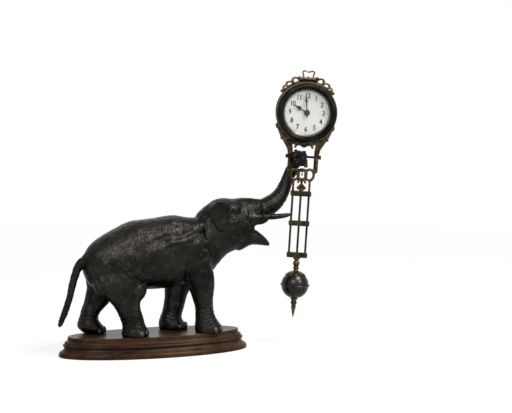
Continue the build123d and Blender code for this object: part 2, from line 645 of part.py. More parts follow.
dome = [(dome_radius * step / DOME_STEPS, rim_front - CRYSTAL_DOME * (1 - (step / DOME_STEPS) ** 2))
        for step in range(DOME_STEPS + 1)]
hollow = [(radius, depth + CRYSTAL_THICKNESS) for radius, depth in reversed(dome)]
crystal_rim = [(crystal_radius, rim_front), (crystal_radius, DRUM_FRONT)]
head["crystal"] = turned_about_y(dome + crystal_rim + hollow)
dial_back = DIAL_FRONT + DIAL_THICKNESS
plate_front = FRONT_PLATE_BACK - PLATE_THICKNESS
cannon_tube = 1.15
hour_pipe = 1.75
dial = slab(Circle(DIAL_RADIUS) - Circle(hour_pipe + 0.3), DIAL_FRONT, dial_back)
for angle in (30, 150, 270):
    dial = dial + slab(disc(polar(20.0, angle), 0.8), dial_back, plate_front)
head["dial"] = dial

# Places of the arbors, from the dial's centre
great_distance = (GREAT_TEETH + PINION_LEAVES) * GREAT_MODULE / 2
center_distance = (CENTER_TEETH + PINION_LEAVES) * CENTER_MODULE / 2
third_distance = (THIRD_TEETH + PINION_LEAVES) * THIRD_MODULE / 2
motion_distance = (CANNON_TEETH + MINUTE_WHEEL_TEETH) * CANNON_MODULE / 2
hour_module = 2 * motion_distance / (MINUTE_PINION_TEETH + HOUR_TEETH)
barrel_at = polar(great_distance, BARREL_ANGLE)
third_at = polar(center_distance, THIRD_ANGLE)
escape_at = shifted(third_at, third_distance, ESCAPE_ANGLE)
pallet_at = shifted(escape_at, PALLET_DISTANCE, PALLET_ANGLE)
motion_at = polar(motion_distance, MOTION_ANGLE)
click_at = shifted(barrel_at, CLICK_DISTANCE, CLICK_ANGLE)

# Plates, pillars and nuts
plate_radius = drum_inner - PLATE_GAP
back_plate_back = BACK_PLATE_FRONT + PLATE_THICKNESS
nut_back = back_plate_back + PILLAR_NUT_HEIGHT
holes = (
    ((0, 0), ARBOR_RADIUS), (third_at, PIVOT_RADIUS), (escape_at, PIVOT_RADIUS), (pallet_at, ARBOR_RADIUS),
)
front_face = Circle(plate_radius)
back_face = Circle(plate_radius)
for point, radius in holes:
    front_face = front_face - disc(point, radius + RUNNING_FIT)
    back_face = back_face - disc(point, radius + RUNNING_FIT)
front_face = front_face - disc(barrel_at, TENON_RADIUS + RUNNING_FIT)
back_face = back_face - disc(barrel_at, BARREL_ARBOR_RADIUS + RUNNING_FIT)
pillars = None
nuts = None
for angle in PILLAR_ANGLES:
    point = polar(PILLAR_CIRCLE, angle)
    front_face = front_face - disc(point, TENON_RADIUS + SEATED_FIT)
    back_face = back_face - disc(point, TENON_RADIUS + SEATED_FIT)
    pillar = slab(disc(point, PILLAR_RADIUS), FRONT_PLATE_BACK, BACK_PLATE_FRONT)
    pillar = pillar + slab(disc(point, TENON_RADIUS), plate_front, nut_back)
    nut_face = disc(point, PILLAR_RADIUS) - disc(point, TENON_RADIUS + SEATED_FIT)
    nut = slab(nut_face, back_plate_back, nut_back)
    pillars = pillar if pillars is None else pillars + pillar
    nuts = nut if nuts is None else nuts + nut
stud_front = dial_back + 0.5
motion_stud = slab(disc(motion_at, MOTION_STUD_RADIUS), stud_front, plate_front)
head["front_plate"] = slab(front_face, plate_front, FRONT_PLATE_BACK) + motion_stud
click_back = back_plate_back + 1.0
head["back_plate"] = (slab(back_face, BACK_PLATE_FRONT, back_plate_back)
                      + slab(disc(click_at, ARBOR_RADIUS), back_plate_back, click_back + 0.3))
head["pillars"] = pillars
head["pillar_nuts"] = nuts
cover_front = DRUM_BACK - COVER_THICKNESS
cover_back = DRUM_BACK + COVER_FLANGE
cover = slab(Circle(drum_inner - SEATED_FIT), cover_front, DRUM_BACK)
cover = cover + slab(Circle(DRUM_RADIUS), DRUM_BACK, cover_back)
cover = cover - slab(Circle(ARBOR_RADIUS + 0.4), cover_front, cover_back)
head["back_cover"] = cover - slab(disc(barrel_at, BARREL_ARBOR_RADIUS + 0.4), cover_front, cover_back)

# Barrel with its great wheel, mainspring, arbor, ratchet, click and key
barrel_front = -3.4
great_front = 3.6
great_back = 4.6
arbor_room = disc(barrel_at, BARREL_ARBOR_RADIUS + RUNNING_FIT)
great = Pos(*barrel_at) * toothed(GREAT_TEETH, GREAT_MODULE, WHEEL_TOOTH, BARREL_ANGLE + 180)
wall = disc(barrel_at, BARREL_RADIUS) - disc(barrel_at, BARREL_RADIUS - BARREL_WALL)
barrel_cap = disc(barrel_at, BARREL_RADIUS) - arbor_room
head["barrel"] = (slab(great - arbor_room, great_front, great_back) + slab(wall, barrel_front, great_front)
                  + slab(barrel_cap, barrel_front, barrel_front + BARREL_WALL))
hub_radius = BARREL_ARBOR_RADIUS + 1.2
coil_outer = BARREL_RADIUS - BARREL_WALL - 0.1
coil_inner = hub_radius + 0.4
coil_steps = 30 * SPRING_COILS
inside_edge = []
outside_edge = []
for step in range(coil_steps + 1):
    share = step / coil_steps
    radius = coil_inner + share * (coil_outer - SPRING_THICKNESS - coil_inner)
    angle = 360.0 * SPRING_COILS * share
    inside_edge.append(shifted(barrel_at, radius, angle))
    outside_edge.append(shifted(barrel_at, radius + SPRING_THICKNESS, angle))
head["mainspring"] = slab(closed(inside_edge + outside_edge[::-1]), barrel_front + 1.2, great_front - 0.4)
ratchet_front = back_plate_back + 0.3
ratchet_back = click_back
key_front = cover_back + 0.8
key_hub_back = key_front + 4.6
arbor = slab(disc(barrel_at, BARREL_ARBOR_RADIUS), barrel_front - 0.8, key_hub_back)
arbor = arbor + slab(disc(barrel_at, TENON_RADIUS), plate_front + 0.2, barrel_front - 0.8)
head["barrel_arbor"] = arbor + slab(disc(barrel_at, hub_radius), barrel_front + 1.0, great_front - 0.2)
ratchet_points = []
for index in range(RATCHET_TEETH):
    angle = index * 360.0 / RATCHET_TEETH
    ratchet_points.append(polar(RATCHET_RADIUS - 0.8, angle))
    ratchet_points.append(polar(RATCHET_RADIUS, angle + 1.0))
square_fit = disc(barrel_at, BARREL_ARBOR_RADIUS + HAND_FIT)
ratchet_face = Pos(*barrel_at) * closed(ratchet_points) - square_fit
head["ratchet_wheel"] = slab(ratchet_face, ratchet_front, ratchet_back)
nose = shifted(barrel_at, RATCHET_RADIUS + 0.95, 115.0)
click_face = disc(click_at, 1.4) + band((click_at, nose), 0.6) - disc(click_at, ARBOR_RADIUS + RUNNING_FIT)
head["click"] = slab(click_face, ratchet_front, click_back)
key = slab(disc(barrel_at, 2.4), key_front, key_hub_back)
wing = RectangleRounded(KEY_SPAN, KEY_SPAN / 2, KEY_SPAN / 6)
wing_place = Pos(barrel_at[0], key_hub_back + 1.0, barrel_at[1]) * Rot(0, 25, 0)
key = key + wing_place * extrude(wing, amount=0.7, both=True)
head["winding_key"] = key - slab(square_fit, key_front, key_hub_back)

# Centre arbor with pinion and wheel, motion work, hands and setting knob
pinion_back = great_back + 0.4
center_pinion = toothed(PINION_LEAVES, GREAT_MODULE, PINION_LEAF, BARREL_ANGLE + 180.0 / PINION_LEAVES)
center_front = -4.9
center_back = -4.1
hand_front = DIAL_FRONT - 2.3
knob_front = cover_back + 0.8
knob_back = knob_front + 3.0
head["center_arbor"] = (slab(Circle(ARBOR_RADIUS), hand_front - 0.6, knob_back)
                        + slab(center_pinion, great_front - 0.3, pinion_back))
center_face = toothed(CENTER_TEETH, CENTER_MODULE, WHEEL_TOOTH, THIRD_ANGLE)
center_face = spoked(center_face, 8.0, 2.2, 4) - Circle(ARBOR_RADIUS + HAND_FIT)
collar = Circle(1.7) - Circle(ARBOR_RADIUS + HAND_FIT)
collar_back = center_back + 1.1
head["center_wheel"] = slab(center_face, center_front, center_back) + slab(collar, center_back, collar_back)
motion_back = plate_front - 0.35
motion_middle = motion_back - 0.7
pinion_front = motion_middle - 1.5
cannon_gap = MOTION_ANGLE + 180.0 / CANNON_TEETH
cannon_face = toothed(CANNON_TEETH, CANNON_MODULE, PINION_LEAF, cannon_gap)
arbor_fit = Circle(ARBOR_RADIUS + HAND_FIT)
head["cannon_pinion"] = (slab(cannon_face - arbor_fit, motion_middle - 0.1, plate_front - 0.2)
                         + slab(Circle(cannon_tube) - arbor_fit, hand_front + 0.4, motion_middle - 0.1))
minute_face = toothed(MINUTE_WHEEL_TEETH, CANNON_MODULE, WHEEL_TOOTH, MOTION_ANGLE + 180)
leaf_gap = MOTION_ANGLE + 180 + 180.0 / MINUTE_PINION_TEETH
minute_pinion = toothed(MINUTE_PINION_TEETH, hour_module, PINION_LEAF, leaf_gap)
stud_fit = Circle(MOTION_STUD_RADIUS + RUNNING_FIT)
head["minute_wheel"] = Pos(motion_at[0], 0, motion_at[1]) * (
    slab(minute_face - stud_fit, motion_middle, motion_back)
    + slab(minute_pinion - stud_fit, pinion_front, motion_middle)
)
hour_face = toothed(HOUR_TEETH, hour_module, WHEEL_TOOTH, MOTION_ANGLE) - Circle(cannon_tube + RUNNING_FIT)
pipe = Circle(hour_pipe) - Circle(cannon_tube + RUNNING_FIT)
hour_front = DIAL_FRONT - 1.2
head["hour_wheel"] = (slab(hour_face, pinion_front + 0.1, motion_middle - 0.5)
                      + slab(pipe, hour_front, pinion_front + 0.1))
spade_rise = HOUR_REACH - HOUR_SPADE
spade = disc((0, spade_rise), 1.9) + closed(((-1.3, spade_rise + 1.0), (1.3, spade_rise + 1.0), (0, HOUR_REACH)))
hour_shape = Circle(2.8) + band(((0, 0), (0, spade_rise)), 0.5) + spade - Circle(hour_pipe + HAND_FIT)
head["hour_hand"] = Rot(0, HOUR_ANGLE, 0) * slab(hour_shape, hour_front, hour_front + 0.4)
leaf_rise = MINUTE_REACH - 6.5
leaf = closed(((-1.2, leaf_rise), (0, MINUTE_REACH), (1.2, leaf_rise), (0, leaf_rise - 3.0)))
minute_shape = Circle(1.9) + band(((0, -4.0), (0, MINUTE_REACH - 6.0)), 0.45) + leaf - arbor_fit
head["minute_hand"] = Rot(0, MINUTE_ANGLE, 0) * slab(minute_shape, hand_front, hand_front + 0.4)
head["hand_nut"] = slab(Circle(1.3) - arbor_fit, hand_front - 0.8, hand_front)
knob_face = Circle(KNOB_RADIUS)
for index in range(20):
    knob_face = knob_face - disc(polar(KNOB_RADIUS + 0.15, index * 18), 0.4)
head["setting_knob"] = slab(knob_face - arbor_fit, knob_front, knob_back)

# Third and escape wheels on their arbors
pivot_front = plate_front + 0.3
pivot_back = back_plate_back - 0.3
arbor_front = FRONT_PLATE_BACK + 0.1
arbor_back = BACK_PLATE_FRONT - 0.1
third_front = 5.4
third_back = 6.1
third_pinion = Pos(*third_at) * toothed(PINION_LEAVES, CENTER_MODULE, PINION_LEAF,
                                        THIRD_ANGLE + 180 + 180.0 / PINION_LEAVES)
head["third_arbor"] = (slab(disc(third_at, THIRD_ARBOR_RADIUS), arbor_front, arbor_back)
                       + slab(third_pinion, center_front - 0.2, center_back + 0.2)
                       + slab(disc(third_at, PIVOT_RADIUS), pivot_front, pivot_back))
third_face = spoked(toothed(THIRD_TEETH, THIRD_MODULE, WHEEL_TOOTH, ESCAPE_ANGLE), 7.3, 2.0, 4)
third_face = Pos(*third_at) * (third_face - Circle(THIRD_ARBOR_RADIUS + HAND_FIT))
head["third_wheel"] = slab(third_face, third_front, third_back)
escape_pinion = Pos(*escape_at) * toothed(PINION_LEAVES, THIRD_MODULE, PINION_LEAF,
                                          ESCAPE_ANGLE + 180 + 180.0 / PINION_LEAVES)
head["escape_arbor"] = (slab(disc(escape_at, ARBOR_RADIUS), arbor_front, arbor_back)
                        + slab(escape_pinion, third_front - 0.3, third_back + 0.3)
                        + slab(disc(escape_at, PIVOT_RADIUS), pivot_front, pivot_back))
escape_points = []
for index in range(ESCAPE_TEETH):
    angle = index * 360.0 / ESCAPE_TEETH
    escape_points.append(polar(ESCAPE_RADIUS - 1.1, angle))
    escape_points.append(polar(ESCAPE_RADIUS, angle + 7.0))
    escape_points.append(polar(ESCAPE_RADIUS - 0.05, angle + 8.5))
    escape_points.append(polar(ESCAPE_RADIUS - 1.1, angle + 8.0))
escape_face = spoked(closed(escape_points), 4.3, 1.6, 4) - Circle(ARBOR_RADIUS + HAND_FIT)
escape_front = 0.4
escape_back = 1.1
head["escape_wheel"] = slab(Pos(*escape_at) * escape_face, escape_front, escape_back)

# Anchor with its pallets, and the short inner pendulum that hangs plumb behind the back plate
nib_circle = ESCAPE_RADIUS + PALLET_GAP + 0.5
entry = shifted(escape_at, nib_circle, PALLET_ANGLE + PALLET_REACH)
leave = shifted(escape_at, nib_circle, PALLET_ANGLE - PALLET_REACH)
anchor_face = disc(pallet_at, 1.5) + band((entry, pallet_at, leave), 0.5)
rod_front = 10.0
rod_back = 11.2
anchor = slab(anchor_face, escape_front - 0.1, escape_back + 0.1)
head["pallet_anchor"] = anchor + slab(disc(pallet_at, ARBOR_RADIUS), pivot_front, rod_back + 0.4)
plumb = 270.0 + HANG_TILT
inner_bob = shifted(pallet_at, INNER_PENDULUM, plumb)
hanger = disc(pallet_at, 1.6) + band((pallet_at, inner_bob), 0.5)
inner = slab(hanger - disc(pallet_at, ARBOR_RADIUS + HAND_FIT), rod_front, rod_back)
head["inner_pendulum"] = inner + slab(disc(inner_bob, INNER_BOB_RADIUS), rod_front - 0.6, rod_back + 1.2)

# Set everything in the row frame and write one file for each piece
swinger_place = bracket_place * Rot(0, HANG_TILT, 0)
pieces = dict(stand)
for name, piece in swinger.items():
    pieces[name] = swinger_place * piece
for name, piece in head.items():
    pieces[name] = swinger_place * Pos(0, 0, HEAD_RISE) * piece
os.makedirs("parts", exist_ok=True)
for name, piece in pieces.items():
    export_step(piece, "parts/" + name + ".step")
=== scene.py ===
"""Dresses the elephant mystery clock: skin and patina, polished plinth, bronzed frame and enamel dial.

Every size is in millimetres in the row frame, or in the swinger's own upright frame, whose origin is on
the knife edge with x to the viewer's right, y away from the viewer and z up. Meshes are scaled to metres
when they are set in place.
"""

import json
import logging
import math
from contextlib import contextmanager
from dataclasses import dataclass
from enum import Enum
from typing import Any, Callable, Dict, Iterator, List, Optional, Sequence, Tuple, Union

import bpy
import numpy as np
from mathutils import Matrix, Vector

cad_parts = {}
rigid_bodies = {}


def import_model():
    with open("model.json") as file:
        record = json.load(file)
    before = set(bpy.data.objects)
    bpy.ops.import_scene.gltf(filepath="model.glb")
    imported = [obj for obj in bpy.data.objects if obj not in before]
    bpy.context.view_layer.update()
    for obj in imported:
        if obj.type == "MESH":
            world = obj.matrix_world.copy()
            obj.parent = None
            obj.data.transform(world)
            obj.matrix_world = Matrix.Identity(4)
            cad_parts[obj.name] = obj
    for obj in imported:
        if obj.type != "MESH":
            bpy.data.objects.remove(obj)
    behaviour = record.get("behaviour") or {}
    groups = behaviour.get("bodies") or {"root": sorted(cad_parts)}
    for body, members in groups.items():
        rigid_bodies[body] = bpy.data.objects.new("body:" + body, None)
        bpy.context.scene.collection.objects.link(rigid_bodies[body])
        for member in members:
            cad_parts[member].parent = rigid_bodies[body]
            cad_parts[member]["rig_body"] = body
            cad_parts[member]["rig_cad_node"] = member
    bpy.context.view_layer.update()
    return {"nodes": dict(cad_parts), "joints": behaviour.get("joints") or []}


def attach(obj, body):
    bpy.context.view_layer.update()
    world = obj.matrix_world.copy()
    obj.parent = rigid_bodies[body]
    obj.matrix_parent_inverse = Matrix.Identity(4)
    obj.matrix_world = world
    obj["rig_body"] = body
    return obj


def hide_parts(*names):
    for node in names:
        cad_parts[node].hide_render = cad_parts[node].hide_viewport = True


LOG = logging.getLogger("mystery_clock")
MM = 0.001
Point = Tuple[float, float, float]
Colour = Tuple[float, float, float, float]
Value = Union[float, "Wire", Sequence[float]]
Inputs = Dict[Union[int, str], Value]
Pair = Tuple[float, float]
Piece = bpy.types.Object
Material = bpy.types.Material
Nodes = Dict[str, Piece]


class Body(Enum):
    """Bodies of the frame that pieces ride on."""

    STAND = "stand"
    SWINGER = "swinger"


class Slot(Enum):
    """Material slots of the record."""

    CASTING = "patinated_casting"
    WOOD = "polished_wood"
    BRONZE = "bronzed_frame"
    GILT = "gilt_brass"
    STEEL = "steel"
    HANDS = "blackened_hands"


class Wire:
    """A shader socket that takes part in Python sums."""

    def __init__(self, paint: "Paint", socket: bpy.types.NodeSocket) -> None:
        """Keeps the socket and the paint that its Math nodes go into."""
        self.paint = paint
        self.socket = socket

    def _math(self, operation: str, first: Value, second: Value) -> "Wire":
        """Adds one Math node.

        Args:
            operation: the Math node's operation.
            first: its first value or wire.
            second: its second value or wire.

        Returns:
            The wire of the result.
        """
        return self.paint.node("ShaderNodeMath", {"operation": operation}, {0: first, 1: second})

    def __add__(self, other: Value) -> "Wire":
        """Sum."""
        return self._math("ADD", self, other)

    def __radd__(self, other: Value) -> "Wire":
        """Sum with a number on the left."""
        return self._math("ADD", other, self)

    def __sub__(self, other: Value) -> "Wire":
        """Difference."""
        return self._math("SUBTRACT", self, other)

    def __mul__(self, other: Value) -> "Wire":
        """Product."""
        return self._math("MULTIPLY", self, other)

    def __rmul__(self, other: Value) -> "Wire":
        """Product with a number on the left."""
        return self._math("MULTIPLY", other, self)

    def within(self, low: float, high: float) -> "Wire":
        """The value stretched so that low becomes 0 and high becomes 1, and held there.

        Args:
            low: value that becomes 0.
            high: value that becomes 1.

        Returns:
            The wire of the result.
        """
        settings = {"clamp": True}
        return self.paint.node("ShaderNodeMapRange", settings, {0: self, 1: low, 2: high, 3: 0.0, 4: 1.0})


class Paint:
    """Node tree of one material or of the world, with a single method that adds any node."""

    def __init__(self, name: str, world: bool = False) -> None:
        """Makes a material with its principled shader, or a world with its background.

        Args:
            name: the material's or the world's name.
            world: whether it is a world.
        """
        self.material = bpy.data.worlds.new(name) if world else bpy.data.materials.new(name)
        self.material.use_nodes = True
        self.tree = self.material.node_tree
        self.shader = self.tree.nodes["Background" if world else "Principled BSDF"]

    def node(self, kind: str, settings: Dict[str, Any], inputs: Inputs, out: int = 0) -> Wire:
        """Adds a node, sets it and links it.

        Args:
            kind: the node's type.
            settings: its properties.
            inputs: values or wires by socket name or number.
            out: number of the output that is wanted.

        Returns:
            The wire of that output.
        """
        node = self.tree.nodes.new(kind)
        for key, value in settings.items():
            setattr(node, key, value)
        for key, value in inputs.items():
            self._feed(node.inputs[key], value)
        return Wire(self, node.outputs[out])

    def _feed(self, socket: bpy.types.NodeSocket, value: Value) -> None:
        """Links a wire to a socket, or sets a plain value on it."""
        if isinstance(value, Wire):
            self.tree.links.new(value.socket, socket)
        else:
            socket.default_value = value

    def set(self, **inputs: Value) -> None:
        """Feeds the shader's sockets; an underscore in a name stands for a space."""
        for key, value in inputs.items():
            self._feed(self.shader.inputs[key.replace("_", " ")], value)

    def coordinates(self, scale: Point = (1.0, 1.0, 1.0)) -> Wire:
        """Object coordinates through a Mapping node.

        Args:
            scale: stretch along each axis.

        Returns:
            The wire of the mapped coordinates.
        """
        place = self.node("ShaderNodeTexCoord", {}, {}, out=3)
        return self.node("ShaderNodeMapping", {}, {"Vector": place, "Scale": scale})

    def noise(self, vector: Wire, scale: float, detail: float, roughness: float, swirl: float = 0.0) -> Wire:
        """Cloudy noise from 0 to 1.

        Args:
            vector: coordinates in metres.
            scale: grains per metre.
            detail: octaves.
            roughness: strength of the finer octaves.
            swirl: distortion.

        Returns:
            The wire of the noise.
        """
        inputs: Inputs = {"Vector": vector, "Scale": scale, "Detail": detail}
        inputs.update({"Roughness": roughness, "Distortion": swirl})
        return self.node("ShaderNodeTexNoise", {}, inputs)

    def blend(self, share: Value, first: Value, second: Value) -> Wire:
        """Mixes two colours.

        Args:
            share: share of the second colour.
            first: the first colour or its wire.
            second: the second colour or its wire.

        Returns:
            The wire of the mixed colour.
        """
        return self.node("ShaderNodeMix", {"data_type": "RGBA"}, {0: share, 6: first, 7: second}, out=2)

    def shown(self) -> Wire:
        """1 for rays from the camera, off glossy surfaces and through glass, and 0 for plain light."""
        seen, glossy, through = [self.node("ShaderNodeLightPath", {}, {}, out=number) for number in (0, 3, 6)]
        return (seen + glossy + through).within(0.0, 1.0)

    def bump(self, height: Wire, distance: float, strength: float, under: Optional[Wire] = None) -> Wire:
        """Bump from a height.

        Args:
            height: the height, from 0 to 1.
            distance: depth of the relief in metres.
            strength: how much of it shows.
            under: another bump that this one lies on.

        Returns:
            The wire of the normal.
        """
        inputs: Inputs = {"Height": height, "Distance": distance, "Strength": strength}
        if under is not None:
            inputs["Normal"] = under
        return self.node("ShaderNodeBump", {}, inputs)


@dataclass(frozen=True)
class Patina:
    """Near-black brown patina of the casting, rubbed greyer in patches and finely creased."""

    name: str = "casting_patina"
    dark: Colour = (0.0085, 0.0081, 0.0073, 1.0)
    brown: Colour = (0.026, 0.0236, 0.0196, 1.0)
    rubbed: Colour = (0.13, 0.124, 0.11, 1.0)
    edge: Colour = (0.7, 0.7, 0.7, 1.0)
    crease_cells: float = 330.0

    def make(self) -> Material:
        """Builds the material."""
        paint = Paint(self.name)
        place = paint.coordinates()
        long_cells = paint.coordinates((1.25, 1.0, 0.6))
        cloud = paint.noise(place, 38.0, 5.0, 0.6).within(0.35, 0.68)
        fine = paint.noise(place, 900.0, 3.0, 0.6)
        warped = paint.noise(long_cells, 60.0, 3.0, 0.5, 0.4)
        shifted = paint.node("ShaderNodeVectorMath", {"operation": "MULTIPLY_ADD"},
                             {0: warped, 1: (0.012, 0.012, 0.012), 2: long_cells})
        cells = paint.node("ShaderNodeTexVoronoi", {"feature": "DISTANCE_TO_EDGE"},
                           {"Vector": shifted, "Scale": self.crease_cells})
        folds = cells.within(0.0, 0.22)
        streaks = paint.noise(paint.coordinates((260.0, 260.0, 60.0)), 1.0, 3.0, 0.6)
        wear = paint.noise(place, 120.0, 6.0, 0.7).within(0.5, 0.78)
        base = paint.blend(cloud, self.dark, self.brown)
        worn = paint.blend(wear * folds * 0.5, base, self.rubbed)
        low = paint.bump(folds, 0.00025, 0.45)
        mid = paint.bump(streaks, 0.0002, 0.55, low)
        paint.set(
            Base_Color=worn,
            Metallic=1.0,
            Roughness=0.24 + 0.16 * fine + 0.1 * cloud,
            Specular_Tint=self.edge,
            Normal=paint.bump(fine, 0.00005, 0.5, mid),
        )
        return paint.material


@dataclass(frozen=True)
class PolishedWood:
    """Dark red-brown hardwood under french polish, with its figure along the plinth."""

    deep: Colour = (0.0085, 0.0042, 0.0028, 1.0)
    red: Colour = (0.036, 0.0165, 0.0088, 1.0)
    gold: Colour = (0.1, 0.05, 0.021, 1.0)

    def make(self) -> Material:
        """Builds the material."""
        paint = Paint("polished_wood")
        along = paint.coordinates((9.0, 70.0, 90.0))
        figure = paint.noise(along, 1.0, 6.0, 0.62, 1.1).within(0.3, 0.7)
        flame = paint.noise(paint.coordinates((28.0, 30.0, 30.0)), 1.0, 4.0, 0.55, 2.2).within(0.35, 0.7)
        pores = paint.noise(paint.coordinates((120.0, 2200.0, 2200.0)), 1.0, 2.0, 0.5).within(0.58, 0.72)
        base = paint.blend(figure, self.deep, self.red)
        lit = paint.blend(flame * figure * 0.75, base, self.gold)
        dark = paint.blend(pores * 0.55, lit, self.deep)
        wear = paint.noise(paint.coordinates(), 55.0, 4.0, 0.6)
        paint.set(
            Base_Color=dark,
            Roughness=0.18 + 0.16 * wear,
            Specular_IOR_Level=0.06,
            Normal=paint.bump(pores, 0.00003, 0.35),
        )
        return paint.material


@dataclass(frozen=True)
class CastMetal:
    """Cast or plain metal, mottled from a dark to a bright colour and spotted with age."""

    name: str
    dark: Colour
    bright: Colour
    rough: float
    mottle: float = 140.0

    def make(self) -> Material:
        """Builds the material."""
        paint = Paint(self.name)
        place = paint.coordinates()
        cloud = paint.noise(place, self.mottle, 5.0, 0.62).within(0.36, 0.66)
        grain = paint.noise(place, 2400.0, 2.0, 0.5)
        spots = paint.noise(place, 420.0, 4.0, 0.65).within(0.56, 0.72)
        base = paint.blend(cloud, self.dark, self.bright)
        aged = paint.blend(spots * 0.35, base, self.dark)
        paint.set(
            Base_Color=aged,
            Metallic=0.95,
            Roughness=self.rough + 0.2 * spots + 0.08 * grain - 0.08 * cloud,
            Normal=paint.bump(grain, 0.00003, 0.4, paint.bump(spots, 0.00006, 0.3)),
        )
        return paint.material


@dataclass(frozen=True)
class Enamel:
    """Pale fired enamel, a little greyer in patches."""

    pale: Colour = (0.6, 0.605, 0.58, 1.0)
    shade: Colour = (0.5, 0.505, 0.48, 1.0)

    def make(self) -> Material:
        """Builds the material."""
        paint = Paint("dial_enamel")
        cloud = paint.noise(paint.coordinates(), 75.0, 4.0, 0.5).within(0.3, 0.75)
        paint.set(
            Base_Color=paint.blend(cloud * 0.45, self.pale, self.shade),
            Roughness=0.22 + 0.08 * cloud,
            Coat_Weight=0.4,
            Coat_Roughness=0.06,
        )
        return paint.material


@dataclass(frozen=True)
class Ink:
    """Black of the numerals and hands."""

    black: Colour = (0.006, 0.006, 0.007, 1.0)
    worn: Colour = (0.02, 0.02, 0.022, 1.0)

    def make(self) -> Material:
        """Builds the material."""
        paint = Paint("black_ink")
        cloud = paint.noise(paint.coordinates(), 600.0, 3.0, 0.5).within(0.35, 0.7)
        paint.set(
            Base_Color=paint.blend(cloud, self.black, self.worn),
            Roughness=0.4 + 0.1 * cloud,
            Specular_IOR_Level=0.08,
        )
        return paint.material


@dataclass(frozen=True)
class ClearGlass:
    """Clear domed glass, seen mostly by what it reflects."""

    alpha: float = 0.02

    def make(self) -> Material:
        """Builds the material."""
        paint = Paint("crystal_glass")
        smear = paint.noise(paint.coordinates(), 60.0, 3.0, 0.5)
        paint.set(Base_Color=(0.9, 0.92, 0.92, 1.0), Roughness=0.02 + 0.03 * smear, Alpha=self.alpha)
        return paint.material


